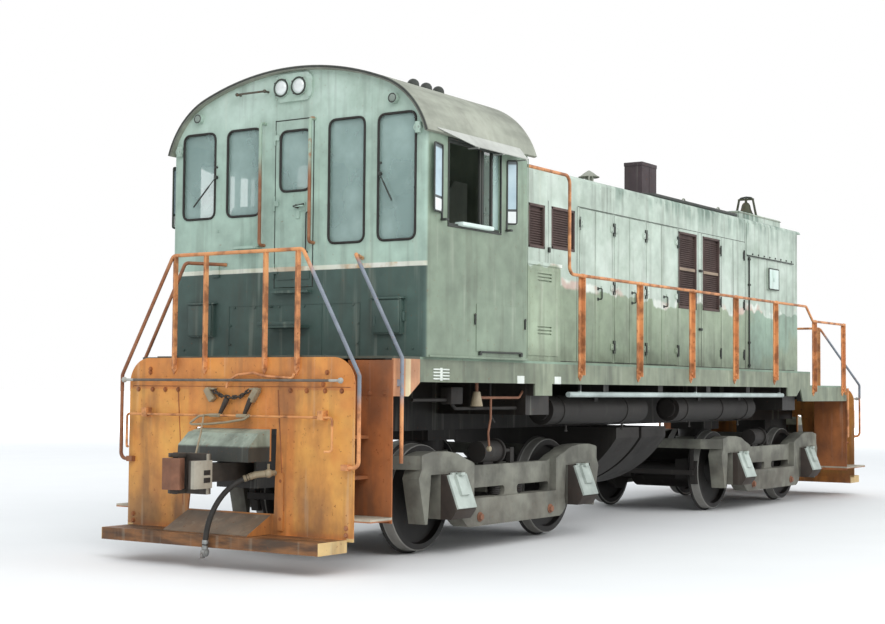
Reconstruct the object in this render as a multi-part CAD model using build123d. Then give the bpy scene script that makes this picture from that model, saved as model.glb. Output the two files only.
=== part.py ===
from build123d import *
import os
from math import sin, cos, tan, radians

os.makedirs("parts", exist_ok=True)

# All lengths are millimetres. +X runs toward the long hood, +Y to the left side, +Z up.
# Z = 0 is the underside of the wheel flanges; the rail head lies flange_depth above it.
flange_depth = 26
rail = flange_depth
seat_gap = 0.3            # play left between pieces of different bodies that bear on each other

# Running gear
wheel_r = 508
wheel_back = 680          # inside face of each wheel, from the centre line
wheel_rim = 140
axle_r = 92
journal_r = 76
journal_end = 1125
journal_play = 5
truck_x = 3429
half_base = 1219
axle_z = rail + wheel_r

# Truck side frame
side_in = 975             # inner face of the side frame web
side_web = 1087           # outer face of the recessed web
side_out = 1160           # outer face of the raised ribs
leg_tip_z = rail + 296
bar_low = rail + 222
bar_high = rail + 490
member_low = rail + 585
member_high = rail + 800
crown_z = rail + 960
box_half = 168
box_low = rail + 330
box_high = rail + 735
lid_lean = 130
lid_t = 26
bowl_r = 230
bowl_top = rail + 905
swivel = 12

# Underframe
deck_top = rail + 1822
deck_t = 22
sill_low = rail + 1600
sill_out = 1480
sill_t = 90
low_deck = rail + 1633
low_sill_low = rail + 1411
step_down_x = 4020
low_sill_end = 5530
cab_sill_end = -6040
centre_sill_y = 330
centre_sill_t = 30
centre_sill_low = rail + 1120
pilot_x = 6370
pilot_t = 16
pilot_half = 1312
pilot_low = rail + 245
pilot_corner_r = 235
pocket_half = 470
pocket_low = rail + 440
pocket_high = rail + 1180
foot_low, foot_high = rail + 155, rail + 262
foot_reach = 390
foot_half = 1250
coupler_z = rail + 800
coupler_reach = 220
shank_half = 80

# Cab
cab_rear = -5608
cab_front = -3848
cab_half = 1522
wall_t = 50
roof_over = 55
roof_front_over = 100
eave_y = cab_half + 36
eave_z = rail + 3830
shoulder_y = cab_half - 447
shoulder_z = rail + 4350
apex_z = rail + 4552
roof_t = 35
floor_top = rail + 2450
sash_t = 8
door_low = rail + 2475
door_high = rail + 4060
door_left = 221
door_right = -240
door_gap = 6
door_axis_x = cab_rear - 10
door_hinges = [door_low + 160, door_low + 800, door_high - 160]

# Hood
hood_half = 914
hood_rear = cab_front
hood_nose = 5120
hood_top = rail + 3914
hood_crown = 60
hood_skin = 40
hood_corner_r = 110
leaf_low = rail + 1858
leaf_high = rail + 3580
leaf_t = 24
leaf_gap = 8

def block(x0, x1, y0, y1, z0, z1):
    """A box between two values on each axis."""
    size = Box(abs(x1 - x0), abs(y1 - y0), abs(z1 - z0))
    return Pos((x0 + x1) / 2, (y0 + y1) / 2, (z0 + z1) / 2) * size


def slab_xz(points, y0, y1):
    """An outline in X and Z, from y0 up to y1."""
    side = Plane(origin=(0, y1, 0), x_dir=(1, 0, 0), z_dir=(0, -1, 0))
    return extrude(side * Polygon(*points, align=None), y1 - y0, dir=(0, -1, 0))


def slab_yz(points, x0, x1):
    """An outline in Y and Z, from x0 up to x1."""
    end = Plane(origin=(x0, 0, 0), x_dir=(0, 1, 0), z_dir=(1, 0, 0))
    return extrude(end * Polygon(*points, align=None), x1 - x0, dir=(1, 0, 0))


def slab_xy(points, z0, z1):
    """An outline in X and Y, from z0 up to z1."""
    return extrude(Pos(0, 0, z0) * Polygon(*points, align=None), z1 - z0, dir=(0, 0, 1))


def run_along_x(face, x0, x1):
    """A face drawn in Y and Z, run from x0 up to x1."""
    end = Plane(origin=(x0, 0, 0), x_dir=(0, 1, 0), z_dir=(1, 0, 0))
    return extrude(end * face, x1 - x0, dir=(1, 0, 0))


def window_x(x0, x1, y0, y1, z0, z1, corner):
    """A block with rounded corners seen along X."""
    end = Plane(origin=(x0, (y0 + y1) / 2, (z0 + z1) / 2), x_dir=(0, 1, 0), z_dir=(1, 0, 0))
    return extrude(end * RectangleRounded(abs(y1 - y0), abs(z1 - z0), corner), x1 - x0, dir=(1, 0, 0))


def window_y(x0, x1, y0, y1, z0, z1, corner):
    """A block with rounded corners seen along Y."""
    side = Plane(origin=((x0 + x1) / 2, y1, (z0 + z1) / 2), x_dir=(1, 0, 0), z_dir=(0, -1, 0))
    return extrude(side * RectangleRounded(abs(x1 - x0), abs(z1 - z0), corner), y1 - y0, dir=(0, -1, 0))


def rod(start, end, r):
    """A round bar between two points."""
    a, b = Vector(*start), Vector(*end)
    return extrude(Plane(origin=a, z_dir=b - a) * Circle(r), (b - a).length)


def pipe(points, r, bend):
    """A round pipe along straight runs joined by tangent arcs."""
    path = FilletPolyline(*points, radius=bend)
    return sweep(Plane(origin=path @ 0, z_dir=path % 0) * Circle(r), path)


def other_side(shape):
    """The same shape across the centre line."""
    return mirror(shape, about=Plane.XZ)


def both_sides(*shapes):
    """Each shape with its twin across the centre line."""
    return list(shapes) + [other_side(shape) for shape in shapes]


def other_end(shape):
    """The same shape at the other end, turned half a circle about Z."""
    return Rot(0, 0, 180) * shape


def fuse(shapes):
    """All shapes joined into one."""
    return Part() + list(shapes)


def save(node, *shapes):
    """Writes one node's solids to its STEP file."""
    solids = [solid for shape in shapes for solid in shape.solids()]
    export_step(Compound(label=node, children=solids), f"parts/{node}.step")


# Running gear

def wheelset(x):
    """Two wheels pressed on an axle with its journals."""
    back, face = wheel_back, wheel_back + wheel_rim
    half = [
        (0, axle_r), (back - 25, axle_r), (back - 25, 150), (back + 50, 168), (back + 50, 432),
        (back, 440), (back, wheel_r + 16), (back + 10, wheel_r + flange_depth),
        (back + 20, wheel_r + flange_depth), (back + 32, wheel_r + 8), (back + 42, wheel_r),
        (face - 6, wheel_r - 5), (face, wheel_r - 12), (face, 440), (back + 86, 428),
        (back + 80, 178), (face + 14, 150), (face + 14, 112), (face + 40, 112),
        (face + 60, journal_r), (journal_end, journal_r),
    ]
    outline = [(-y, r) for y, r in reversed(half[1:])] + half
    outline = [(-journal_end, 0)] + outline + [(journal_end, 0)]
    face_yz = Plane.YZ * Polygon(*outline, align=None)
    return Pos(x, 0, axle_z) * revolve(face_yz, Axis.Y)


frame_tip = half_base + 481
end_bar = frame_tip + 75
brake_x = end_bar + 7


def side_frame_outline():
    """The whole cast side frame in X and Z, about the truck's centre."""
    inner = half_base - box_half - 41
    outer = half_base + box_half + 163
    half = [
        (0, member_high), (inner - 270, member_high), (inner - 150, rail + 850), (inner - 25, rail + 888),
        (inner + 90, rail + 932), (half_base + 51, crown_z - 4), (outer - 30, crown_z), (outer + 110, rail + 938),
        (frame_tip, rail + 925), (frame_tip, rail + 800), (frame_tip + 45, rail + 718), (outer + 90, leg_tip_z),
        (outer + 50, leg_tip_z), (outer, rail + 690), (outer, box_high + 12), (inner, box_high + 12),
        (inner - 25, rail + 420), (inner, rail + 305), (inner - 80, bar_low + 22), (inner - 130, bar_low),
        (0, bar_low),
    ]
    return half + [(-x, z) for x, z in reversed(half[1:-1])]


def journal_box(x):
    """A plain journal box in the jaw, with its leaning lid and lid spring."""
    bottom_y, top_y = side_out + 180, side_out + 55
    body = slab_yz(
        [(side_in + 8, box_low), (bottom_y - 60, box_low), (bottom_y, box_low + 82),
         (top_y, box_high), (side_out, box_high + 12), (side_in + 8, box_high + 12)],
        x - box_half, x + box_half)
    lean = Vector(0, bottom_y - top_y, box_low + 82 - box_high).normalized()
    lid_plane = Plane(origin=(x, top_y, box_high), x_dir=(1, 0, 0), z_dir=(0, -lean.Z, lean.Y))
    lid = lid_plane * (Pos(0, 165, lid_t / 2) * Box(2 * box_half - 20, 330, lid_t))
    boss = lid_plane * (Pos(0, 110, lid_t + 14) * Box(140, 200, 28))
    hinge = rod((x - 90, top_y + 4, box_high + 4), (x + 90, top_y + 4, box_high + 4), 22)
    bore = rod((x, side_in - 40, axle_z), (x, journal_end + seat_gap, axle_z), journal_r + journal_play)
    bearing = block(x - 50, x + 50, side_in + 20, journal_end - 10,
                    axle_z + journal_r + seat_gap, axle_z + journal_r + 20)
    return body + lid + boss + hinge - bore + bearing


def truck_side():
    """One cast side frame with both journal boxes."""
    outline = side_frame_outline()
    web = slab_xz(outline, side_in, side_web)
    ribs = slab_xz(outline, side_web, side_out) - block(-800, 800, side_web, side_out, bar_high, crown_z)
    frame = web + ribs
    for near in (-1, 1):
        frame -= window_y(near * 445 - 325, near * 445 + 325, side_in, side_out, bar_high, member_low, 40)
    boxes = [journal_box(near * half_base) for near in (-1, 1)]
    return fuse([frame] + boxes)


def truck_frame():
    """Two side frames, the transom with its centre bowl and the end bars."""
    sides = both_sides(truck_side())
    transom = block(-300, 300, -side_in, side_in, rail + 520, member_high)
    bowl = Pos(0, 0, (member_high + bowl_top) / 2) * Cylinder(bowl_r + 40, bowl_top - member_high)
    frame = fuse(sides + [transom, bowl])
    for near in (-1, 1):
        frame += block(near * end_bar, near * (end_bar + 75), -side_in + 60, side_in - 60,
                       rail + 800, rail + 925)
        for side in (-1, 1):
            frame += frame_corner(near, side)
    return frame - Pos(0, 0, bowl_top) * Cylinder(66, 300)


def frame_corner(near, side):
    """The bent corner between a side frame and the end bar."""
    x = frame_tip - 10
    points = [(x, side_out), (end_bar + 75, side_in - 60), (end_bar, side_in - 60), (x, side_in)]
    return slab_xy([(near * x, side * y) for x, y in points], rail + 800, rail + 925)


def traction_motor(near):
    """A motor hung on the axle: barrel, axle bearings, gear case and nose."""
    centre_x, axle_x = near * (half_base - 459), near * half_base
    barrel = Pos(centre_x, 0, axle_z + 10) * Rot(90, 0, 0) * Cylinder(285, 1000)
    nose = block(near * 300, near * 520, -180, 180, axle_z + 20, axle_z + 120)
    bearings = [block(centre_x, axle_x + near * 140, side * 330, side * 500, axle_z - 130, axle_z + 130)
                for side in (-1, 1)]
    wheel_case = Pos(axle_x, 590, axle_z) * Rot(90, 0, 0) * Cylinder(300, 80)
    motor_case = block(centre_x, axle_x, 550, 630, axle_z - 180, axle_z + 230)
    link = block(centre_x - 80, centre_x + 80, 480, 560, axle_z - 80, axle_z + 100)
    bore = Pos(axle_x, 0, axle_z) * Rot(90, 0, 0) * Cylinder(axle_r + journal_play, 1400)
    return fuse([barrel, nose, wheel_case, motor_case, link] + bearings) - bore


def brake_rig(near):
    """Shoes, heads, hangers and the beam at one end of a truck."""
    axle_x = near * half_base
    pieces = []
    ring = Cylinder(wheel_r + 58, 90) - Cylinder(wheel_r + 9, 90)
    for side in (-1, 1):
        shoe = Pos(axle_x, side * 770, axle_z) * Rot(90, 0, 0) * ring
        shoe &= block(axle_x + near * 430, axle_x + near * 600, side * 700, side * 840,
                      axle_z - 170, axle_z + 130)
        hanger = block(near * brake_x, near * (brake_x + 24), side * 750, side * 790, axle_z - 20, rail + 800)
        pieces += [shoe, hanger, block(near * (brake_x - 22), near * (brake_x + 24), side * 735, side * 805,
                                       axle_z - 60, axle_z + 40)]
    beam = block(near * brake_x, near * (brake_x + 60), -800, 800, axle_z - 50, axle_z + 10)
    return fuse(pieces + [beam])


def brake_cylinder(near):
    """A brake cylinder on top of the side frame, with its push rod."""
    z = member_high + 127
    barrel = rod((near * -560, 1030, z), (near * -230, 1030, z), 105)
    cap = rod((near * -230, 1030, z), (near * -205, 1030, z), 125)
    push = rod((near * -205, 1030, z), (near * 60, 1030, z), 22)
    foot = block(near * -480, near * -300, 1000, 1060, member_high, z)
    clevis = block(near * 40, near * 110, 1005, 1055, member_high, z + 30)
    return fuse([barrel, cap, push, foot, clevis])


truck = truck_frame()
motors = [traction_motor(near) for near in (-1, 1)]
brakes = [brake_rig(near) for near in (-1, 1)]
cylinders = both_sides(brake_cylinder(1))
for end, place in (("cab_end", -truck_x), ("hood_end", truck_x)):
    save(f"truck_frame_{end}", Pos(place, 0, 0) * truck)
    save(f"truck_gear_{end}", *[Pos(place, 0, 0) * piece for piece in motors + brakes + cylinders])
for number, x in enumerate((-truck_x - half_base, -truck_x + half_base,
                            truck_x - half_base, truck_x + half_base), start=1):
    save(f"wheelset_{number}", wheelset(x))

# Underframe

deck_under = deck_top - deck_t
low_under = low_deck - deck_t
bearer_low = rail + 1480
inner_sill = sill_out - sill_t
pilot_in = pilot_x - pilot_t


bearers = [(x - 60, x + 60, bearer_low, deck_under) for x in (-5850, -1950, -600, 750, 2000)]
bearers += [(x - 230, x + 230, rail + 1290, deck_under) for x in (-truck_x, truck_x)]
bearers.append((5200, 5320, low_sill_low + 20, low_under))


def centre_sill():
    """The hollow centre sill with its webs, bolster centres, bearing plates and draft pockets."""
    sill = block(-pilot_in, pilot_in, -centre_sill_y, centre_sill_y, centre_sill_low, low_under)
    wall = centre_sill_t
    sill -= block(-pilot_in, pilot_in, -centre_sill_y + wall, centre_sill_y - wall,
                  centre_sill_low + wall, low_under - wall)
    pieces = [sill]
    for x0, x1, low, high in bearers:
        pieces.append(block(x0, x1, -centre_sill_y, centre_sill_y, low, high))
    for x in (-truck_x, truck_x):
        pieces.append(block(x - 260, x + 260, -250, 250, rail + 1010, centre_sill_low))
        plate_low = bowl_top + seat_gap
        pieces.append(Pos(x, 0, (plate_low + rail + 1010) / 2) * Cylinder(bowl_r, rail + 1010 - plate_low))
        pieces.append(Pos(x, 0, bowl_top - 60) * Cylinder(60, 160))
    for end in (-1, 1):
        pocket = block(end * 5470, end * pilot_in, -230, 230, coupler_z - 150, centre_sill_low)
        pocket -= block(end * 5560, end * pilot_in, -200, 200, coupler_z - 120, coupler_z + 120)
        pieces.append(pocket)
        pieces.append(block(end * (pilot_in - 90), end * pilot_in, -200, 200,
                            coupler_z - 120, coupler_z - shank_half))
    return fuse(pieces)


def side_sill():
    """The left side sill with its bolster ends and its low part beside the hood steps."""
    side = [
        (cab_sill_end, deck_under), (3640, deck_under), (3640, sill_low - 20), (3493, sill_low - 118),
        (3157, sill_low - 118), (3157, sill_low), (-3287, sill_low), (-3287, sill_low - 118),
        (-3626, sill_low - 118), (-3626, sill_low), (-5628, sill_low), (-5811, rail + 1474),
        (cab_sill_end, rail + 1474),
    ]
    low = [
        (3700, deck_under), (step_down_x, deck_under), (step_down_x, low_under), (low_sill_end, low_under),
        (low_sill_end, low_sill_low), (3740, low_sill_low), (3640, sill_low), (3640, deck_under),
    ]
    return fuse([slab_xz(outline, inner_sill, sill_out) for outline in (side, low)])


arms = [block(x0, x1, centre_sill_y, inner_sill, low, high) for x0, x1, low, high in bearers]
skirt = both_sides(block(step_down_x, hood_nose, hood_half - 34, hood_half, low_deck, deck_under))
skirt.append(block(hood_nose - 30, hood_nose, -hood_half, hood_half, low_deck, deck_under))
save("underframe", centre_sill(), *both_sides(*arms, side_sill()), fuse(skirt))

platform_half = 985
save("deck",
     block(cab_sill_end, step_down_x, -sill_out, sill_out, deck_under, deck_top),
     block(-pilot_in, cab_sill_end, -platform_half, platform_half, deck_under, deck_top),
     block(step_down_x, hood_nose, -hood_half, hood_half, deck_under, deck_top),
     block(step_down_x, low_sill_end, -sill_out, sill_out, low_under, low_deck),
     block(low_sill_end, pilot_in, -platform_half, platform_half, low_under, low_deck))


def pilot(top):
    """An end sheet with rounded top corners and the coupler opening, at the cab end."""
    height = top - pilot_low
    sheet = block(-pilot_x, -pilot_in, -pilot_half, pilot_half, pilot_low, pilot_low + height)
    corners = sheet.edges().filter_by(Axis.X).sort_by(Axis.Z)[-2:]
    sheet = fillet(corners, pilot_corner_r)
    hole = slab_yz([(-pocket_half, pocket_high), (pocket_half, pocket_high), (pocket_half + 90, pocket_low),
                    (-pocket_half + 20, pocket_low)], -pilot_x - 1, -pilot_in + 1)
    reach = foot_reach - 60
    apron = slab_xz([(-pilot_x, pocket_low), (-pilot_x - reach, foot_high + 13), (-pilot_x - reach, foot_high + 1),
                     (-pilot_x, foot_high + 1)], -430, 545)
    strip = block(-pilot_x - 14, -pilot_x, -560, -500, rail + 300, rail + 800)
    return fuse([sheet - hole, apron, strip])


def coupler_shroud():
    """The sloping cover over the coupler shank, open below."""
    low, half = coupler_z + shank_half + 16, pocket_half - 60
    outer = slab_xz([(-pilot_x, pocket_high), (-pilot_x - 170, pocket_high - 40), (-pilot_x - 300, pocket_high - 150),
                     (-pilot_x - 310, low), (-pilot_x, low)], -half, half)
    inner = slab_xz([(-pilot_x, pocket_high - 24), (-pilot_x - 158, pocket_high - 62),
                     (-pilot_x - 277, pocket_high - 164), (-pilot_x - 286, low), (-pilot_x, low)],
                    24 - half, half - 24)
    return outer - inner


shroud = coupler_shroud()
save("pilots", pilot(deck_top - 16), shroud, other_end(pilot(low_deck)), other_end(shroud))

footboard = block(-pilot_x - foot_reach, -pilot_x, -foot_half, foot_half, foot_low, foot_high)
save("footboards", footboard, other_end(footboard))


tread_out, tread_t = 1230, 28


def corner_steps(inner_x, top_z):
    """One step well behind the pilot: the inner stringer and its treads."""
    lip_x = -pilot_in
    stringer = block(inner_x - 14, inner_x, platform_half + 15, sill_out, rail + 390, top_z)
    pieces = [stringer]
    for level, reach in ((1483, tread_out), (1135, tread_out), (788, tread_out), (440, sill_out)):
        if rail + level < top_z - 60:
            pieces.append(block(lip_x, inner_x - 14, platform_half + 15, reach,
                                rail + level - tread_t, rail + level))
    pieces.append(block(lip_x, inner_x, platform_half, platform_half + 15, rail + 390, deck_under - 250))
    return fuse(pieces)


cab_well = corner_steps(cab_sill_end, rail + 1474)
hood_well = other_end(corner_steps(-low_sill_end, low_sill_low))
save("corner_steps", *both_sides(cab_well, hood_well))

# Couplers, drawn at the cab end

head_back = -6620 - coupler_reach
head_move = Pos(-coupler_reach, 0, 0)
knuckle_pin = (-6800, 110)
knuckle_half = 132
lug_low, lug_high = knuckle_half + 6, knuckle_half + 40
pin_r, pin_play = 22, 1


def coupler_body():
    """Shank, head, guard arm and lock lugs."""
    shank = block(head_back, -5560, -85, 85, coupler_z - shank_half, coupler_z + shank_half)
    head = slab_xy([(-6620, -95), (-6680, -190), (-6745, -205), (-6745, 30), (-6700, 30), (-6700, 165), (-6620, 95)],
                   coupler_z - lug_high, coupler_z + lug_high)
    arm = slab_xy([(-6680, -190), (-6690, -215), (-6850, -245), (-6935, -235), (-6935, -170), (-6830, -110),
                   (-6745, -60), (-6700, -60)], coupler_z - 118, coupler_z + 118)
    lugs = [slab_xy([(-6700, 40), (-6830, 50), (-6860, 110), (-6830, 165), (-6700, 165)], low, high)
            for low, high in ((coupler_z - lug_high, coupler_z - lug_low), (coupler_z + lug_low, coupler_z + lug_high))]
    pin = Pos(*knuckle_pin, coupler_z) * Cylinder(pin_r, 2 * lug_high + 12)
    return fuse([shank] + [head_move * piece for piece in [head, arm, pin] + lugs])


def knuckle():
    """The hooked knuckle that turns on its pin between the lugs."""
    hook = slab_xy([(-6755, 42), (-6755, 150), (-6830, 172), (-6900, 168), (-6950, 120), (-6952, 10),
                    (-6915, -50), (-6878, -48), (-6868, 20), (-6850, 62), (-6800, 45)],
                   coupler_z - knuckle_half, coupler_z + knuckle_half)
    bore = Pos(*knuckle_pin, coupler_z) * Cylinder(pin_r + pin_play, 2 * lug_high + 12)
    return head_move * (hook - bore)


coupler, hook = coupler_body(), knuckle()
save("couplers", coupler, other_end(coupler))
save("knuckle_cab_end", hook)
save("knuckle_hood_end", other_end(hook))

# Cab

def arch_points(inset):
    """Centres, radii and angles of the three-arc roof line, moved in by inset."""
    rise = apex_z - shoulder_z
    top_r = (shoulder_y ** 2 + rise ** 2) / (2 * rise)
    top_c = Vector(0, apex_z - top_r)
    shoulder = Vector(shoulder_y, shoulder_z)
    inward = (top_c - shoulder).normalized()
    chord = Vector(eave_y, eave_z) - shoulder
    side_r = chord.length ** 2 / (2 * chord.dot(inward))
    side_c = shoulder + inward * side_r
    to_eave = (Vector(eave_y, eave_z) - side_c).normalized()
    to_mid = (to_eave - inward).normalized()
    return {
        "apex": Vector(0, apex_z - inset),
        "shoulder": top_c - inward * (top_r - inset),
        "mid": side_c + to_mid * (side_r - inset),
        "eave": side_c + to_eave * (side_r - inset),
    }


def arch_edges(inset):
    """The roof line from the left eave to the right one."""
    p = arch_points(inset)
    flip = {key: (-v.X, v.Y) for key, v in p.items()}
    here = {key: (v.X, v.Y) for key, v in p.items()}
    return [
        ThreePointArc(here["eave"], here["mid"], here["shoulder"]),
        ThreePointArc(here["shoulder"], here["apex"], flip["shoulder"]),
        ThreePointArc(flip["shoulder"], flip["mid"], flip["eave"]),
    ], here["eave"], flip["eave"]


def arch_solid(inset, x0, x1, base_z):
    """Everything under the roof line, down to a level."""
    arcs, left, right = arch_edges(inset)
    sides = [Line(right, (right[0], base_z)), Line((right[0], base_z), (left[0], base_z)),
             Line((left[0], base_z), left)]
    return run_along_x(make_face(Curve() + arcs + sides), x0, x1)


def cab_roof():
    """The rolled roof sheet with its front and rear overhangs."""
    outer, left, right = arch_edges(0)
    inner, left_in, right_in = arch_edges(roof_t)
    edges = Curve() + outer + inner + [Line(left, left_in), Line(right, right_in)]
    x0, x1 = cab_rear - roof_over, cab_front + roof_front_over
    return run_along_x(make_face(edges), x0, x1)


side_window = dict(x0=-5270, x1=-4375, z0=rail + 3020, z1=rail + 3800)
end_windows = [
    dict(y0=cab_half - 554, y1=cab_half - 129, z0=rail + 3172, z1=rail + 4022),
    dict(y0=396, y1=825, z0=rail + 3172, z1=rail + 4022),
    dict(y0=-837, y1=-415, z0=rail + 2862, z1=rail + 4022),
    dict(y0=120 - cab_half, y1=546 - cab_half, z0=rail + 2862, z1=rail + 4022),
]
door_window = dict(y0=-209, y1=165, z0=rail + 3376, z1=rail + 3962)
front_windows = [
    dict(y0=cab_half - 537, y1=cab_half - 122, z0=rail + 3020, z1=rail + 3960),
    dict(y0=122 - cab_half, y1=537 - cab_half, z0=rail + 3020, z1=rail + 3960),
]
pane_corner = 76
under_roof = arch_solid(roof_t, cab_rear - 200, cab_front + 200, deck_top - 10)


def cab_end_wall():
    """The rear wall with its four windows and the doorway."""
    wall = block(cab_rear, cab_rear + wall_t, -cab_half, cab_half, deck_top, apex_z)
    wall = fillet(wall.edges().filter_by(Axis.Z).sort_by(Axis.X)[:2], 45)
    for w in end_windows:
        wall -= window_x(cab_rear - 1, cab_rear + wall_t + 1, w["y0"], w["y1"], w["z0"], w["z1"], pane_corner)
    doorway = block(cab_rear - 1, cab_rear + wall_t + 1, door_right, door_left, door_low, door_high)
    barrels = []
    for level in door_hinges:
        for low, high in ((level - 70, level - 40 - seat_gap), (level + 40 + seat_gap, level + 70)):
            barrels.append(rod((door_axis_x, door_left, low), (door_axis_x, door_left, high), 8))
            barrels.append(block(door_axis_x - 4, cab_rear, door_left, door_left + 14, low, high))
    lids = [block(cab_rear - 40, cab_rear, y0, y1, rail + 2025, rail + 2340)
            for y0, y1 in ((949, 1267), (-1275, -954))]
    steps = [block(cab_rear - reach, cab_rear, y0, y1, rail + level - 24, rail + level)
             for y0, y1, level, reach in ((-238, 209, 2446, 70), (-215, 255, 2118, 190), (376, 677, 2881, 90))]
    return fuse([(wall - doorway) & under_roof] + barrels + lids + steps)


def cab_front_wall():
    """The wall next to the hood, with a window over each battery box."""
    wall = block(cab_front - wall_t, cab_front, -cab_half, cab_half, deck_top, apex_z)
    wall = fillet(wall.edges().filter_by(Axis.Z).sort_by(Axis.X)[-2:], 30)
    for w in front_windows:
        wall -= window_x(cab_front - wall_t - 1, cab_front + 1, w["y0"], w["y1"], w["z0"], w["z1"], 40)
    return wall & under_roof


def cab_side_wall():
    """The right side wall with its wide sliding window and the lower hatch."""
    x0, x1 = cab_rear + wall_t, cab_front - wall_t
    wall = block(x0, x1, -cab_half, -cab_half + wall_t, deck_top, apex_z)
    w = side_window
    wall -= window_y(w["x0"], w["x1"], -cab_half - 1, -cab_half + wall_t + 1, w["z0"], w["z1"], 30)
    hatch = block(-4790, -3930, -cab_half - 6, -cab_half, rail + 1890, rail + 2330)
    return (wall & under_roof) + hatch


save("cab_end_wall", cab_end_wall())
save("cab_front_wall", cab_front_wall())
side_wall = cab_side_wall()
save("cab_right_wall", side_wall)
save("cab_left_wall", other_side(side_wall))
roof_sheet = cab_roof()
save("cab_roof", roof_sheet)

door_t = 40


def cab_door():
    """The end door leaf with its window opening, latch and handle."""
    leaf = block(cab_rear, cab_rear + door_t, door_right + door_gap, door_left - door_gap,
                 door_low + door_gap, door_high - door_gap)
    w = door_window
    leaf -= window_x(cab_rear - 1, cab_rear + door_t + 1, w["y0"], w["y1"], w["z0"], w["z1"], 60)
    handle = rod((cab_rear - 34, -150, rail + 3234), (cab_rear - 34, -30, rail + 3234), 9)
    stem = rod((cab_rear - 34, -60, rail + 3234), (cab_rear, -60, rail + 3234), 12)
    plate = block(cab_rear - 6, cab_rear, -150, -30, rail + 3190, rail + 3275)
    hinges = []
    for level in door_hinges:
        hinges.append(rod((door_axis_x, door_left, level - 40), (door_axis_x, door_left, level + 40), 8))
        hinges.append(block(door_axis_x - 4, cab_rear, door_left - 50, door_left - 2, level - 25, level + 25))
    return fuse([leaf, handle, stem, plate] + hinges)


save("cab_door", cab_door())
w = door_window
save("cab_door_glass", window_x(cab_rear + 16, cab_rear + 16 + sash_t, w["y0"], w["y1"], w["z0"], w["z1"], 60))


def cab_glass():
    """Fixed panes in the end and front walls and the closed sash at each side."""
    panes = [window_x(cab_rear + 20, cab_rear + 20 + sash_t, w["y0"], w["y1"], w["z0"], w["z1"], pane_corner)
             for w in end_windows]
    panes += [window_x(cab_front - 30, cab_front - 30 + sash_t, w["y0"], w["y1"], w["z0"], w["z1"], 40)
              for w in front_windows]
    w = side_window
    panes += both_sides(block(w["x1"] - 130, w["x1"], -cab_half + 22, -cab_half + 22 + sash_t,
                              w["z0"] + 30, w["z1"] - 30))
    return panes


save("cab_glass", *cab_glass())

inner_half = cab_half - wall_t
cab_in_rear, cab_in_front = cab_rear + wall_t, cab_front - wall_t
floor = block(cab_in_rear, cab_in_front, -inner_half, inner_half, floor_top - 40, floor_top)
stand_x = cab_in_front - 420
stand = block(stand_x, stand_x + 330, -900, -300, floor_top, floor_top + 950)
stand += slab_xz([(stand_x - 60, floor_top + 950), (stand_x + 330, floor_top + 950),
                  (stand_x + 330, floor_top + 1130), (stand_x + 90, floor_top + 1130)], -900, -300)
pedestals = [Pos(-4950, side * 1000, floor_top + 200) * Cylinder(60, 400) for side in (-1, 1)]
frames = [block(-5150, -5110, side * 1000 - 200, side * 1000 + 200, floor_top + 400, floor_top + 420)
          + block(-5150, -4750, side * 1000 - 200, side * 1000 + 200, floor_top + 400, floor_top + 420)
          for side in (-1, 1)]
save("cab_floor", floor, stand, *[a + b for a, b in zip(pedestals, frames)])
cushions = []
for side in (-1, 1):
    seat = block(-5140, -4760, side * 1000 - 195, side * 1000 + 195, floor_top + 420, floor_top + 500)
    back = block(-5150, -5090, side * 1000 - 195, side * 1000 + 195, floor_top + 500, floor_top + 900)
    cushions.append(seat + back)
save("cab_seats", *cushions)


def awning():
    """The sloping sheet over a side window and the two wind deflectors."""
    top_y, low_y, top_z, low_z = -eave_y + 12, -eave_y - 82, eave_z + 42, eave_z - 70
    sheet = slab_yz([(top_y, top_z), (low_y, low_z), (low_y + 7, low_z - 6), (top_y + 7, top_z - 6)], -5490, -4060)
    sheet &= slab_xz([(-5490, top_z), (-5490, top_z - 12), (-4990, low_z - 6), (-4060, low_z - 6), (-4060, top_z)],
                     low_y - 1, top_y + 8)
    arms = [block(x - 10, x + 10, low_y + 3, -cab_half, low_z - 16, low_z - 4) for x in (-4940, -4500, -4080)]
    blades = []
    for x, lean, out in ((-5380, -190, 50), (-4262, 60, 80)):
        blades.append(slab_xy([(x, -cab_half), (x + 8, -cab_half), (x + 8 + lean, -cab_half - out),
                               (x + lean, -cab_half - out)], rail + 3118, rail + 3728))
    shade = fuse([sheet] + arms) - arch_solid(0, cab_rear - 200, cab_front + 200, eave_z - 2)
    return [shade - roof_sheet] + blades


save("cab_awnings", *both_sides(*awning()))

# Hood

side_top = hood_top - 40
leaf_edges = [-1700, -1310, -854, -450, -18, 420, 886]
grilles = [
    dict(x0=-2810, x1=-2465, z0=rail + 3048, z1=rail + 3519),
    dict(x0=-2318, x1=-1797, z0=rail + 3068, z1=rail + 3527),
    dict(x0=914, x1=1458, z0=rail + 2578, z1=rail + 3547),
    dict(x0=1645, x1=2190, z0=rail + 2586, z1=rail + 3547),
]
mullion = 15
leaf_axis_y = -hood_half - 10
leaf_hinges = [rail + 2040, rail + 2720, rail + 3400]
pull_z = rail + 2655
front_back = hood_nose - 140


def hinge_barrels(x, y, face_y, way, level):
    """The two fixed barrels of one hood hinge, above and below the leaf's own."""
    pieces = []
    for low, high in ((level - 75, level - 45 - seat_gap), (level + 45 + seat_gap, level + 75)):
        pieces.append(rod((x, y, low), (x, y, high), 8) + block(x - way * 13, x, y - 4, face_y, low, high))
    return pieces


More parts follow.
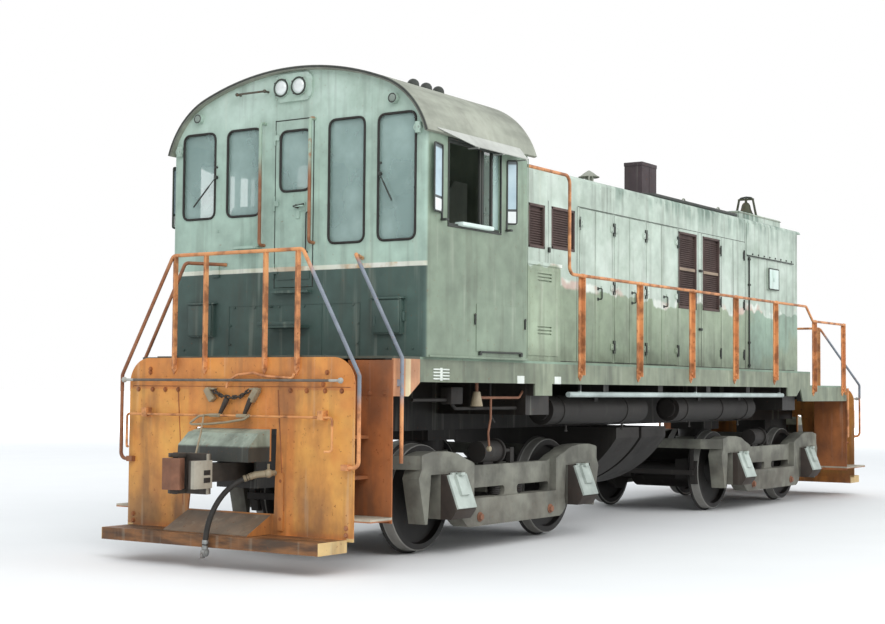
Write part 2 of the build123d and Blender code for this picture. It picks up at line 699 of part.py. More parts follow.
def hood_side():
    """The right hood side with its doorways, fixed hinge barrels and grille openings."""
    panel = block(hood_rear, front_back, -hood_half, -hood_half + hood_skin, deck_top, side_top)
    for low, high in zip(leaf_edges[0::2][:3], leaf_edges[2::2]):
        panel -= block(low + mullion, high - mullion, -hood_half - 1, -hood_half + hood_skin + 1,
                       leaf_low, leaf_high)
    barrels = []
    for low, high in zip(leaf_edges[0::2][:3], leaf_edges[2::2]):
        for hinge_x, way in ((low + mullion, 1), (high - mullion, -1)):
            for level in leaf_hinges:
                barrels += hinge_barrels(hinge_x, leaf_axis_y, -hood_half, way, level)
    for g in grilles:
        panel -= block(g["x0"], g["x1"], -hood_half - 1, -hood_half + hood_skin + 1, g["z0"], g["z1"])
    panel += block(3100, 4840, -hood_half - 10, -hood_half, rail + 3418, rail + 3860)
    panel += block(3840, 4215, -hood_half - 30, -hood_half, rail + 2985, rail + 3285)
    return fuse([panel] + barrels)


def door_leaf(hinge_x, free_x):
    """One hood door leaf in the right side, with its hinges and handle."""
    way = 1 if free_x > hinge_x else -1
    x0, x1 = hinge_x + way * door_gap, free_x
    leaf = block(x0, x1, -hood_half, -hood_half + leaf_t, leaf_low + door_gap, leaf_high - door_gap)
    for z in leaf_hinges:
        leaf += rod((hinge_x, leaf_axis_y, z - 45), (hinge_x, leaf_axis_y, z + 45), 8)
        leaf += block(hinge_x + way * 2, hinge_x + way * 70, leaf_axis_y - 4, -hood_half, z - 30, z + 30)
    if way < 0:
        leaf += block(free_x + 125, free_x + 155, leaf_axis_y - 5, -hood_half, pull_z - 75, pull_z + 75)
    return leaf


leaves = {}
for pair, (low, middle, high) in enumerate(zip(leaf_edges[0::2], leaf_edges[1::2], leaf_edges[2::2]), start=1):
    leaves[f"{pair}a"] = door_leaf(low + mullion, middle - leaf_gap / 2)
    leaves[f"{pair}b"] = door_leaf(high - mullion, middle + leaf_gap / 2)
right_side = hood_side()
save("hood_right_side", right_side)
save("hood_left_side", other_side(right_side))
for mark, leaf in leaves.items():
    save(f"hood_door_right_{mark}", leaf)
    save(f"hood_door_left_{mark}", other_side(leaf))


def grille(g, louvre_pitch=95):
    """A frame with sloping louvres set in a hood opening."""
    y0, y1 = -hood_half, -hood_half + hood_skin
    frame = block(g["x0"], g["x1"], y0, y1, g["z0"], g["z1"])
    frame -= block(g["x0"] + 22, g["x1"] - 22, y0 - 1, y1 + 1, g["z0"] + 22, g["z1"] - 22)
    count = int((g["z1"] - g["z0"] - 60) / louvre_pitch)
    start = g["z0"] + 40
    pitch = (g["z1"] - g["z0"] - 80) / count
    blades = [slab_yz([(y0 + 4, start + i * pitch), (y0 + 4, start + i * pitch + 8),
                       (y1 - 4, start + i * pitch + 44), (y1 - 4, start + i * pitch + 36)],
                      g["x0"] + 22, g["x1"] - 22) for i in range(count)]
    return fuse([frame] + blades)


save("hood_grilles", *both_sides(*[grille(g) for g in grilles]))


hood_shoulder = [
    (hood_half, side_top), (hood_half, side_top + 10), (hood_half - 12, hood_top - 8),
    (hood_half - 45, hood_top + 8), (hood_half / 2, hood_top + hood_crown - 16),
    (0, hood_top + hood_crown),
]


def under_hood_roof(x0, x1):
    """Everything under the hood roof's outer face, down to the side panels."""
    line = hood_shoulder + [(-y, z) for y, z in reversed(hood_shoulder[:-1])]
    return slab_yz(line, x0, x1)


def hood_roof():
    """The roof sheet with rounded shoulders and a slight crown."""
    t = 30
    under = [(0, hood_top + hood_crown - t), (hood_half / 2, hood_top + hood_crown - 16 - t),
             (hood_half - 60, side_top)]
    outline = hood_shoulder + [(-y, z) for y, z in reversed(hood_shoulder[:-1])]
    outline += [(-y, z) for y, z in reversed(under[1:])] + under
    return slab_yz(outline, hood_rear, hood_nose + 40)


save("hood_roof", hood_roof())


def hood_front():
    """The nose with rounded corners, a shutter opening and its louvres."""
    shell = block(front_back, hood_nose, -hood_half, hood_half, deck_top, side_top)
    shell = fillet(shell.edges().filter_by(Axis.Z).sort_by(Axis.X)[-2:], hood_corner_r)
    shell -= block(front_back - 1, hood_nose - hood_skin, -hood_half + hood_skin, hood_half - hood_skin,
                   deck_top - 1, side_top + 1)
    z0, z1, y = deck_top + 250, side_top - 420, 620
    shell -= block(hood_nose - hood_skin - 1, hood_nose + 1, -y, y, z0, z1)
    count = 12
    pitch = (z1 - z0) / count
    blades = [slab_xz([(hood_nose - 36, z0 + i * pitch + 60), (hood_nose - 4, z0 + i * pitch + 14),
                       (hood_nose - 4, z0 + i * pitch + 22), (hood_nose - 36, z0 + i * pitch + 68)], -y, y)
              for i in range(count)]
    return fuse([shell] + blades)


save("hood_front", hood_front())

hatch_low = hood_top + 20
hatch_high = rail + 4085
hatch = block(3500, 5060, -640, 640, hatch_low, hatch_high)
hatch -= under_hood_roof(3400, 5200)
save("radiator_hatch", hatch)

stack_x, stack_half_x, stack_half_y = 1690, 215, 130
roof_z = hood_top + hood_crown
stack = block(stack_x - stack_half_x, stack_x + stack_half_x, -stack_half_y, stack_half_y, roof_z, rail + 4560)
stack -= block(stack_x - stack_half_x + 14, stack_x + stack_half_x - 14, -stack_half_y + 14,
               stack_half_y - 14, roof_z + 60, rail + 4570)
stack += block(stack_x - 270, stack_x + 270, -185, 185, roof_z, roof_z + 26)
save("exhaust_stack", stack)

vent_x = 240
vent = Pos(vent_x, 0, roof_z + 120) * Cylinder(45, 240)
vent += Pos(vent_x, 0, roof_z + 260) * Cylinder(130, 40) + Pos(vent_x, 0, roof_z + 300) * Cylinder(90, 50)
rings = []
for x in (-1020, 1530, 2640):
    for side in (-1, 1):
        y = side * 700
        lug = block(x - 30, x + 30, y - 10, y + 10, hood_top + 12, hood_top + 110)
        lug -= Pos(x, y, hood_top + 75) * Rot(90, 0, 0) * Cylinder(16, 40)
        lug -= under_hood_roof(x - 50, x + 50)
        rings.append(lug)

bell_x, bell_y = 4460, -350
bell_z = hatch_high
legs = [slab_yz([(bell_y + side * 176, bell_z), (bell_y + side * 150, bell_z),
                 (bell_y + side * 98, bell_z + 262), (bell_y + side * 120, bell_z + 262)], bell_x - 16, bell_x + 16)
        for side in (-1, 1)]
bar = block(bell_x - 16, bell_x + 16, bell_y - 120, bell_y + 120, bell_z + 262, bell_z + 286)
stem = block(bell_x - 14, bell_x + 14, bell_y - 14, bell_y + 14, bell_z + 225, bell_z + 262)
cup_line = [(0, 40), (112, 40), (118, 48), (96, 78), (74, 130), (64, 180), (48, 214), (18, 235), (0, 235)]
cup = revolve(Plane.XZ * Polygon(*cup_line, align=None), Axis.Z)
cup -= revolve(Plane.XZ * Polygon((0, 35), (100, 35), (84, 78), (62, 130), (50, 172), (0, 196), align=None), Axis.Z)
cup = Pos(bell_x, bell_y, bell_z) * cup
feet = block(bell_x - 40, bell_x + 40, bell_y - 190, bell_y + 190, bell_z, bell_z + 10)
save("bell", fuse(legs + [bar, stem, cup, feet]))


def roof_horns():
    """Three small horn domes in a row on the cab roof."""
    domes = []
    for x in (-4300, -4070, -3850):
        post = Pos(x, -450, apex_z - 80) * Cylinder(26, 180)
        dome = Pos(x, -450, apex_z + 15) * Sphere(62)
        domes.append((post + dome) - arch_solid(0, x - 100, x + 100, apex_z - 400))
    return domes


save("roof_fittings", vent, *rings, *roof_horns())

battery_rear, battery_front = cab_front, -2980


def battery_box():
    """The louvred box ahead of the cab on the right walkway."""
    box = block(battery_rear, battery_front, -1400, -hood_half, deck_top, rail + 2812)
    lid = block(battery_rear, battery_front + 12, -1412, -hood_half, rail + 2790, rail + 2824)
    panel = block(battery_rear + 120, battery_front - 60, -1408, -1400, deck_top + 60, rail + 2740)
    box = fuse([box, lid, panel])
    for z in (rail + 2095, rail + 2630):
        for step in range(3):
            low = z + step * 34
            box -= block(battery_rear + 390, battery_rear + 670, -1409, -1392, low, low + 14)
    return box


save("battery_boxes", *both_sides(battery_box()))

engine = block(-1650, 860, -520, 520, deck_top, rail + 3250)
save("engine", engine)

# Lamps

def headlight(x_face, way):
    """A twin sealed-beam headlight on its rounded plate."""
    z = rail + 4364
    plate = window_x(min(x_face, x_face + way * 22), max(x_face, x_face + way * 22), -222, 222,
                     z - 134, z + 134, 80)
    cans = [rod((x_face, y, z), (x_face + way * 48, y, z), 90) for y in (-84, 126)]
    return fuse([plate] + cans)


def nose_light():
    """The headlight case on the nose, under the hood roof."""
    z = side_top - 190
    case = block(hood_nose, hood_nose + 36, -235, 235, z - 110, z + 110)
    cans = [rod((hood_nose, y, z), (hood_nose + 60, y, z), 88) for y in (-110, 110)]
    return fuse([case] + cans)


lamps = [headlight(cab_rear, -1), nose_light()]
for y, z in ((1177, 4165), (-1163, 4145)):
    lamps.append(rod((cab_rear - 50, y, rail + z), (cab_rear, y, rail + z), 48))
for side in (-1, 1):
    lamps.append(rod((cab_rear - 40, side * 1430, rail + 3860), (cab_rear, side * 1430, rail + 3860), 38))
save("lamps", *lamps)

# Handrails

rail_r = 17
post_y = -sill_out
high_z, low_z = rail + 2725, rail + 2530


def side_post(x, low, high):
    """An angle post bolted to the outside of the sill."""
    flange = slab_xz([(x - 35, low + 40), (x, low), (x + 35, low + 40), (x + 35, high), (x - 35, high)],
                     post_y - 10, post_y)
    web = block(x + 25, x + 35, post_y - 50, post_y, low + 60, high)
    return flange + web


def side_rail():
    """The right walkway rail, from the cab's front corner to the low platform."""
    y = post_y - 34
    posts = [side_post(x, rail + 1633, high_z) for x in (-2710, -1362, 25, 1334, 2673)]
    posts += [side_post(x, rail + 1484, low_z) for x in (4133, 5333)]
    line = [(cab_front, y, rail + 3733), (-3000, y, rail + 3733), (-3000, y, high_z), (3776, y, high_z),
            (4037, y, low_z), (5366, y, low_z)]
    return fuse(posts + [pipe(line, rail_r, 90)])


side_rails = side_rail()
save("side_handrails", *both_sides(side_rails))


def end_rail(top_z, foot_z, knee_z):
    """The end rail with four posts and its sloping ends, at the cab end."""
    x = -pilot_x - 30
    face = -pilot_x
    posts = []
    for y in (752, 378, -325, -690):
        flange = slab_yz([(y - 28, foot_z + 45), (y, foot_z), (y + 28, foot_z + 45), (y + 28, top_z),
                          (y - 28, top_z)], face - 10, face)
        posts.append(flange + block(face - 45, face, y - 28, y - 18, foot_z + 60, top_z))
    rails = [pipe([(x, 0, top_z), (x, side * 760, top_z), (x, side * 1385, knee_z),
                   (x, side * 1385, rail + 870), (x, side * 1280, rail + 870)], rail_r, 60)
             for side in (-1, 1)]
    pads = [block(face - 48, face, side * 1255 - 25, side * 1255 + 45, rail + 845, rail + 895)
            for side in (-1, 1)]
    return fuse(posts + rails + pads)


cab_rail = end_rail(rail + 2745, rail + 1657, rail + 1650)
hood_rail = other_end(end_rail(rail + 2530, rail + 1500, rail + 1650))
grabs = []
for y in (345, -252):
    x = cab_rear - 75
    grabs.append(pipe([(cab_rear, y, rail + 4045), (x, y, rail + 4045), (x, y, rail + 2885),
                       (cab_rear, y, rail + 2885)], 13, 40))
grabs.append(pipe([(cab_rear, 660, rail + 4350), (cab_rear - 60, 660, rail + 4350),
                   (cab_rear - 60, 315, rail + 4350), (cab_rear, 315, rail + 4350)], 10, 25))
x = cab_sill_end + 70
corner = pipe([(cab_rear, -815, rail + 2720), (x, -1010, rail + 2720), (x, -sill_out - 40, rail + 1806),
               (x, -sill_out - 40, rail + 900)], rail_r, 40)
corner -= block(cab_rear, cab_rear + 100, -900, -700, rail + 2600, rail + 2800)
corner += block(x - 17, x + 17, -sill_out - 40, -sill_out, rail + 1560, rail + 1620)
low_corner = rod((5470, -sill_out - 40, rail + 880), (5470, -sill_out - 40, rail + 1600), rail_r)
low_corner += block(5453, 5487, -sill_out - 40, -sill_out, rail + 1500, rail + 1560)
save("end_handrails", cab_rail, hood_rail, *grabs, *both_sides(corner, low_corner))


def cut_lever(rod_z):
    """The coupler lift rod with its two handles and brackets, and the upper rod."""
    x = -pilot_x - 55
    z = rail + 1288
    lever = pipe([(x - 40, 1235, rail + 985), (x, 1290, rail + 985), (x, 1290, z), (x, -1120, z),
                  (x, -1120, rail + 1000), (x - 40, -1065, rail + 1000)], 11, 30)
    brackets = [block(x - 16, -pilot_x, y - 30, y + 30, z - 22, z + 60) for y in (1060, -1000)]
    bar = rod((x, 1335, rod_z), (x, -1205, rod_z), 12)
    balls = [Pos(x, y, rod_z) * Sphere(26) for y in (1335, -1205)]
    stays = [block(x, -pilot_x, y - 12, y + 12, rod_z - 12, rod_z + 12) for y in (1240, -1100)]
    return [fuse([lever] + brackets), fuse([bar] + balls + stays)]


save("cut_levers", *cut_lever(rail + 1604), *[other_end(piece) for piece in cut_lever(rail + 1440)])

# Brake hose at the cab end, with its cock and coupling head

hose_r = 24
hose_run = [
    (-6520, -330, 800), (-6585, -257, 767), (-6665, -172, 685), (-6735, -109, 563),
    (-6780, -69, 422), (-6800, -51, 290), (-6802, -45, 205),
]


def bend_radii(points):
    """The largest arc that each corner's two runs allow."""
    corners = [Vector(*p) for p in points]
    radii = []
    for a, b, c in zip(corners, corners[1:], corners[2:]):
        turn = radians((b - a).get_angle(c - b))
        radii.append(0.45 * min((b - a).length, (c - b).length) / tan(turn / 2))
    return radii


hose_radii = bend_radii(hose_run)
print("hose radii", [round(r) for r in hose_radii])
hose_line = FilletPolyline(*hose_run, radius=hose_radii)
air_hose = sweep(Plane(origin=hose_line @ 0, z_dir=hose_line % 0) * Circle(hose_r), hose_line)
print("hose length", round(hose_line.length), "section times length over volume",
      round(3.14159 * hose_r ** 2 * hose_line.length / air_hose.volume, 4))
save("air_hose", air_hose)

hose_start, hose_end = Vector(*hose_run[0]), Vector(*hose_run[-1])
exit_way = (Vector(*hose_run[1]) - hose_start).normalized()
end_way = (hose_end - Vector(*hose_run[-2])).normalized()


def angle_cock():
    """The brake pipe's end with its cock and hose nipple, beside the coupler."""
    elbow = (-6455, -455, 822)
    stub = rod((-pilot_x, -455, 822), elbow, 24)
    back = hose_start - exit_way * 30
    body = rod(elbow, tuple(back), 30)
    ball = Pos(*elbow) * Sphere(38)
    nipple = extrude(Plane(origin=back, z_dir=exit_way) * Circle(31), 30)
    handle = block(-6462, -6448, -463, -447, 822, 905)
    return fuse([stub, body, ball, nipple, handle])


cock = angle_cock()
save("angle_cocks", cock, other_end(cock))


def glad_hand():
    """The coupling head at the hose's free end."""
    neck = extrude(Plane(origin=hose_end, z_dir=end_way) * Circle(30), 40)
    x, y, z = hose_end.X, hose_end.Y, hose_end.Z
    head = Pos(x, y, z - 62) * Rot(90, 0, 0) * Cylinder(36, 44)
    lip = block(x - 52, x + 10, y - 14, y + 14, z - 112, z - 66)
    return fuse([neck, head, lip])


save("glad_hand", glad_hand())

# Underbody

tank_top = centre_sill_low
tank_half, tank_side_z, tank_low = 1120, rail + 1000, rail + 400


def tank_drum(x0, x1, inset):
    """One length of the round-bottomed fuel tank."""
    y = tank_half - inset
    edges = Curve() + [
        Line((y, tank_top), (y, tank_side_z)),
        ThreePointArc((y, tank_side_z), (0, tank_low + inset), (-y, tank_side_z)),
        Line((-y, tank_side_z), (-y, tank_top)), Line((-y, tank_top), (y, tank_top))]
    return run_along_x(make_face(edges), x0, x1)


tank = fuse([tank_drum(-1180, -610, 0), tank_drum(-610, -540, 45), tank_drum(-540, 100, 0)])
save("fuel_tank", tank)

res_y, res_r = 1150, 150
res_z = bearer_low - res_r
tanks = []
for x0, x1, saddles in ((-2980, -700, (-1950,)), (60, 2510, (750, 2000))):
    barrel = rod((x0 + 40, -res_y, res_z), (x1 - 40, -res_y, res_z), res_r)
    barrel = barrel + rod((x0, -res_y, res_z), (x1, -res_y, res_z), res_r - 45)
    for x in saddles:
        barrel += block(x - 40, x + 40, -res_y - 120, -res_y + 120, res_z, bearer_low)
    tanks.append(barrel)
save("air_reservoirs", *both_sides(*tanks))


def sill_pipe():
    """The long pipe under the sill with its hangers."""
    y, z = -1420, rail + 1494
    line = rod((-2850, y, z), (3120, y, z), 28)
    hangers = [block(x - 14, x + 14, y - 14, y + 14, z, sill_low) for x in (-2600, 300, 3000)]
    return fuse([line] + hangers)


save("sill_pipes", *both_sides(sill_pipe()))
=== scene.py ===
import math

import bpy
from mathutils import Matrix, Vector


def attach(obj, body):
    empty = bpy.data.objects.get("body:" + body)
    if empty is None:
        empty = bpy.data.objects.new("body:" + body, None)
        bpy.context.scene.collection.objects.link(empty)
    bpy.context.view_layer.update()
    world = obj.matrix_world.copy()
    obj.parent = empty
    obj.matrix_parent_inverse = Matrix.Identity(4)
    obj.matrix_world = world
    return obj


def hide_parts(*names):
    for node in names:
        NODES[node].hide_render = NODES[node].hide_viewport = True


bl_info = {
    "name": "Diesel switching locomotive dressing",
    "version": (1, 0, 0),
    "blender": (4, 5, 0),
    "location": "View3D > Sidebar > Locomotive",
    "description": "Paint, seams, fittings, glass, hose and studio for a packed locomotive",
    "category": "Object",
}

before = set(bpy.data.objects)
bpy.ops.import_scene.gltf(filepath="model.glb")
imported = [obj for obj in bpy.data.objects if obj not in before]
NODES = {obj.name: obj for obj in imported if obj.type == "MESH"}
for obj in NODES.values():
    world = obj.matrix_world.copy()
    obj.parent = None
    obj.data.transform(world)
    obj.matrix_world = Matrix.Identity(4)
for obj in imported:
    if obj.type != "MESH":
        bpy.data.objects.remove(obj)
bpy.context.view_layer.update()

RAIL = 0.026  # the rail head above the underside of the flanges
CAB_END, CAB_FRONT, CAB_SIDE = -5.608, -3.848, 1.522
HOOD_SIDE, HOOD_NOSE = 0.914, 5.120
PILOT = 6.370
DECK = RAIL + 1.824
TRUCK_CENTRE, HALF_BASE = 3.429, 1.219
AXLE_LEVEL = RAIL + 0.508
LAMP_LEVEL, HOOD_LAMP_LEVEL = RAIL + 4.364, RAIL + 3.684
POSTS = (
    # place along the side, foot and rail clamp above the rail head
    (-2.710, 1.633, 2.725), (-1.362, 1.633, 2.725), (0.025, 1.633, 2.725), (1.334, 1.633, 2.725),
    (2.673, 1.633, 2.725), (4.133, 1.484, 2.53), (5.333, 1.484, 2.53),
)
LEAF_EDGES = (-1.700, -1.310, -0.854, -0.450, -0.018, 0.420, 0.886)
LEAF_LOW, LEAF_HIGH = RAIL + 1.858, RAIL + 3.580
HINGE_LEVELS = (RAIL + 2.040, RAIL + 2.720, RAIL + 3.400)
END_WINDOWS = (
    # low y, high y, low z, high z
    (0.968, 1.393, RAIL + 3.172, RAIL + 4.022),
    (0.396, 0.825, RAIL + 3.172, RAIL + 4.022),
    (-0.837, -0.415, RAIL + 2.862, RAIL + 4.022),
    (-1.402, -0.976, RAIL + 2.862, RAIL + 4.022),
)
FRONT_WINDOWS = (
    (0.985, 1.400, RAIL + 3.020, RAIL + 3.960),
    (-1.400, -0.985, RAIL + 3.020, RAIL + 3.960),
)
GRILLES = (
    # low x, high x, low z, high z
    (-2.810, -2.465, RAIL + 3.048, RAIL + 3.519),
    (-2.318, -1.797, RAIL + 3.068, RAIL + 3.527),
    (0.914, 1.458, RAIL + 2.578, RAIL + 3.547),
    (1.645, 2.190, RAIL + 2.586, RAIL + 3.547),
)
CAMERA_PLACE = (-16.846, -9.151, 1.563)
CAMERA_YAW, CAMERA_PITCH, CAMERA_ROLL = 0.586, 0.050, 0.008
HOSE_ROUTE = (
    # from the angle cock down to the coupling head
    (-6.520, -0.330, 0.800), (-6.585, -0.257, 0.767), (-6.665, -0.172, 0.685), (-6.735, -0.109, 0.563),
    (-6.780, -0.069, 0.422), (-6.800, -0.051, 0.290), (-6.802, -0.045, 0.205),
)


def srgb(red, green, blue):
    """A colour written as 0 to 255 values, as the shader wants it."""
    def linear(value):
        value /= 255
        return value / 12.92 if value <= 0.04045 else ((value + 0.055) / 1.055) ** 2.4
    return (linear(red), linear(green), linear(blue), 1.0)


# Materials


class Signal:
    """An output socket that takes part in Python sums."""

    def __init__(self, finish, socket):
        self.finish = finish
        self.socket = socket

    def math(self, operation, first, second=0.0):
        return self.finish.node("ShaderNodeMath", {"operation": operation}, {0: first, 1: second})

    def __add__(self, other):
        return self.math("ADD", self, other)

    def __radd__(self, other):
        return self.math("ADD", other, self)

    def __sub__(self, other):
        return self.math("SUBTRACT", self, other)

    def __rsub__(self, other):
        return self.math("SUBTRACT", other, self)

    def __mul__(self, other):
        return self.math("MULTIPLY", self, other)

    def __rmul__(self, other):
        return self.math("MULTIPLY", other, self)

    def __abs__(self):
        return self.math("ABSOLUTE", self)

    def over(self, edge, blur):
        """0 below the edge and 1 above it, with a soft step."""
        return self.finish.node("ShaderNodeMapRange", {"interpolation_type": "SMOOTHSTEP"},
                                {"Value": self, "From Min": edge - blur, "From Max": edge + blur})

    def under(self, edge, blur):
        return 1 - self.over(edge, blur)


class Finish:
    """A material that is being built around one Principled shader."""

    def __init__(self, name):
        self.material = bpy.data.materials.new(name)
        self.material.use_nodes = True
        self.tree = self.material.node_tree
        self.shader = self.tree.nodes["Principled BSDF"]
        self.place = self.node("ShaderNodeTexCoord", out="Object")
        axes = self.node("ShaderNodeSeparateXYZ", inputs={0: self.place}).socket.node
        self.x, self.y, self.z = (Signal(self, socket) for socket in axes.outputs)

    def node(self, kind, settings=None, inputs=None, out=0):
        made = self.tree.nodes.new(kind)
        for key, value in (settings or {}).items():
            setattr(made, key, value)
        for key, value in (inputs or {}).items():
            if isinstance(value, Signal):
                self.tree.links.new(value.socket, made.inputs[key])
            else:
                made.inputs[key].default_value = value
        return Signal(self, made.outputs[out])

    def noise(self, scale, detail=3.0, stretch=(1, 1, 1), shift=0.0, rough=0.55):
        """Cloudy variation about a half, so many waves to the metre."""
        place = self.node("ShaderNodeMapping", inputs={
            0: self.place, "Location": (shift, shift, shift), "Scale": stretch})
        return self.node("ShaderNodeTexNoise", inputs={
            "Vector": place, "Scale": scale, "Detail": detail, "Roughness": rough})

    def mix(self, amount, under, over):
        return self.node("ShaderNodeMix", {"data_type": "RGBA", "clamp_factor": True},
                         {0: amount, 6: under, 7: over}, out=2)

    def cloud(self, dark, light, *waves, **place):
        """Two colours, written as 0 to 255 values, that noise blends."""
        return self.mix(self.noise(*waves, **place), srgb(*dark), srgb(*light))

    def tone(self, amount, colour):
        """The colour made brighter or darker where the amount leaves a half."""
        return self.node("ShaderNodeMix", {"data_type": "RGBA", "blend_type": "OVERLAY"},
                         {0: 1.0, 6: colour, 7: self.node("ShaderNodeCombineXYZ", inputs={
                             0: amount, 1: amount, 2: amount})}, out=2)

    def done(self, colour, roughness=0.6, metallic=0.0, height=None, depth=0.001, **plain):
        for name, value in (("Base Color", colour), ("Roughness", roughness), ("Metallic", metallic)):
            socket = self.shader.inputs[name]
            if isinstance(value, Signal):
                self.tree.links.new(value.socket, socket)
            else:
                socket.default_value = value
        for name, value in plain.items():
            self.shader.inputs[name.replace("_", " ")].default_value = value
        if height is not None:
            bump = self.node("ShaderNodeBump", inputs={"Height": height, "Distance": depth, "Strength": 0.6})
            self.tree.links.new(bump.socket, self.shader.inputs["Normal"])
        return self.material


def weathered(name, colour_of, rust=0.5, streak=0.5, grime=0.5, roughness=0.55):
    """Painted steel with cloudy fading, vertical streaks, rust spots and fine dents."""
    f = Finish(name)
    colour = colour_of(f)
    colour = f.tone(f.noise(1.3, 4.0) * 0.5 + f.noise(7.0, 3.0, shift=4.0) * 0.28 + 0.11, colour)
    runs = f.noise(9.0, 3.0, stretch=(1, 1, 0.07), shift=1.0).over(0.60, 0.09)
    colour = f.mix(runs * (0.42 * streak), colour, srgb(70, 66, 54))
    pale = f.noise(11.0, 2.0, stretch=(1, 1, 0.06), shift=8.0).over(0.66, 0.07)
    colour = f.mix(pale * (0.22 * streak), colour, srgb(205, 208, 190))
    patch = f.noise(2.2, 5.0, shift=3.0).over(0.62, 0.12)
    spots = f.noise(26.0, 4.0, shift=5.0, rough=0.65).over(0.69 - 0.04 * rust, 0.04)
    rusty = f.cloud((96, 52, 30), (158, 92, 48), 40.0, 2.0, shift=2.0)
    colour = f.mix(spots * rust, colour, rusty)
    soot = f.noise(3.5, 4.0, shift=6.0).over(0.55, 0.18)
    colour = f.mix(soot * (0.35 * grime), colour, srgb(58, 56, 48))
    rough = roughness + patch * 0.12 + spots * 0.25
    height = f.noise(3.0, 2.0, shift=7.0) * 0.8 + spots * 0.4 + f.noise(120.0, 2.0) * 0.05
    return f.done(colour, rough, height=height, depth=0.004)


def cab_colour(f):
    """Light green over a pale band over dark green on the end, plain green on the sides."""
    sway = f.noise(5.0, 3.0, shift=9.0)
    upper = f.cloud((146, 171, 157), (168, 190, 175), 1.1, 3.0, shift=2.5)
    upper = f.mix(f.z.over(3.95, 0.45) * 0.4, upper, srgb(198, 214, 202))
    band_rust = f.noise(4.0, 4.0, shift=11.0).over(0.50, 0.10) * f.y.under(0.1, 0.5)
    band = f.mix(band_rust, srgb(212, 214, 198), srgb(178, 142, 100))
    dark = f.cloud((44, 60, 56), (72, 96, 88), 3.0, 4.0, stretch=(1, 1, 0.5), shift=5.5)
    z = f.z + (sway - 0.5) * 0.006
    end = f.mix(z.over(RAIL + 2.672, 0.004), band, upper)
    end = f.mix(z.under(RAIL + 2.630, 0.004), end, dark)
    side = f.cloud((112, 127, 108), (133, 147, 128), 0.9, 3.0, shift=12.0)
    side = f.mix(f.z.over(3.4, 0.5), side, f.mix(sway, srgb(114, 134, 115), srgb(135, 152, 135)))
    colour = f.mix(f.x.under(-5.590, 0.012), side, end)
    inside = f.x.over(-5.572, 0.004) * f.x.under(-3.884, 0.004) * abs(f.y).under(1.486, 0.004)
    return f.mix(inside, colour, srgb(112, 122, 104))


def hood_colour(f):
    """Pale mint above a ragged edge, olive green below it, remains of a stripe, dark iron hinges."""
    ragged = (f.noise(1.1, 5.0, stretch=(1, 1, 0.2), shift=3.0) - 0.5) * 0.42
    step = (f.noise(6.0, 2.0, stretch=(1, 1, 0.05), shift=13.0) - 0.5) * 0.14
    high = f.x.under(-2.86, 0.006) * 0.15
    dips = f.x.over(0.18, 0.03) * f.x.under(0.86, 0.04) * 0.09
    dips = dips + f.x.over(2.48, 0.08) * f.x.under(3.0, 0.2) * 0.09
    dips = dips + f.x.over(3.7, 0.15) * f.x.under(4.3, 0.2) * 0.06
    level = f.z + ragged * 0.5 + step + dips - high
    upper = f.cloud((166, 181, 167), (194, 205, 193), 0.8, 4.0, shift=6.0)
    lower = f.cloud((132, 148, 122), (156, 168, 146), 1.2, 4.0, shift=7.0)
    teal = f.noise(0.9, 3.0, shift=24.0).over(0.45, 0.05) * f.x.over(3.2, 0.1)
    lower = f.mix(teal * 0.6, lower, srgb(134, 162, 148))
    colour = f.mix(level.over(RAIL + 2.655, 0.008), lower, upper)
    remains = f.noise(2.0, 4.0, shift=21.0).over(0.50, 0.05)
    near = level.over(RAIL + 2.640, 0.015) * level.under(RAIL + 2.735, 0.02)
    faded = f.mix(f.noise(3.0, 2.0, shift=15.0).over(0.5, 0.06), srgb(226, 230, 220), srgb(206, 178, 164))
    colour = f.mix(near * remains * 0.8, colour, faded)
    stains = f.noise(9.0, 4.0, stretch=(1, 1, 0.16), shift=18.0).over(0.47, 0.15)
    moss = stains * f.noise(1.6, 3.0, shift=31.0).over(0.46, 0.10)
    moss = moss * f.z.over(RAIL + 3.72, 0.22) * f.x.over(-1.2, 1.0)
    colour = f.mix(moss * 0.85, colour, srgb(80, 108, 94))
    foot = f.z.under(RAIL + 1.98, 0.12) * f.noise(6.0, 3.0, shift=19.0).over(0.42, 0.2)
    colour = f.mix(foot * 0.5, colour, srgb(104, 110, 92))
    iron = abs(f.y).over(0.9297, 0.0004) * f.x.over(-1.76, 0.01) * f.x.under(0.93, 0.01)
    return f.mix(iron, colour, srgb(52, 58, 50))


def hood_top_colour(f):
    """The hood's own mint along its edges and soot grey on top."""
    return f.mix(abs(f.y).over(0.80, 0.06), srgb(128, 134, 122), hood_colour(f))


def awning_colour(f):
    """Grey sheet over the window and, in the wind deflectors below it, pale panes whose colour is a painted
    reflection.
    """
    pane = f.z.under(RAIL + 3.745, 0.003)
    low = f.z.under(RAIL + 3.250, 0.004)
    # painted reflection in place of glass: opaque pale blue, whiter at the bottom and dark along the top
    pane_painted_reflection = f.mix(low, srgb(176, 196, 204), srgb(226, 230, 228))
    bar = abs(f.z - (RAIL + 3.250)).under(0.012, 0.002)
    pane_painted_reflection = f.mix(bar, pane_painted_reflection, srgb(66, 72, 72))
    pane_painted_reflection = f.mix(f.z.over(RAIL + 3.690, 0.01), pane_painted_reflection, srgb(84, 92, 94))
    return f.mix(pane, srgb(176, 178, 170), pane_painted_reflection)


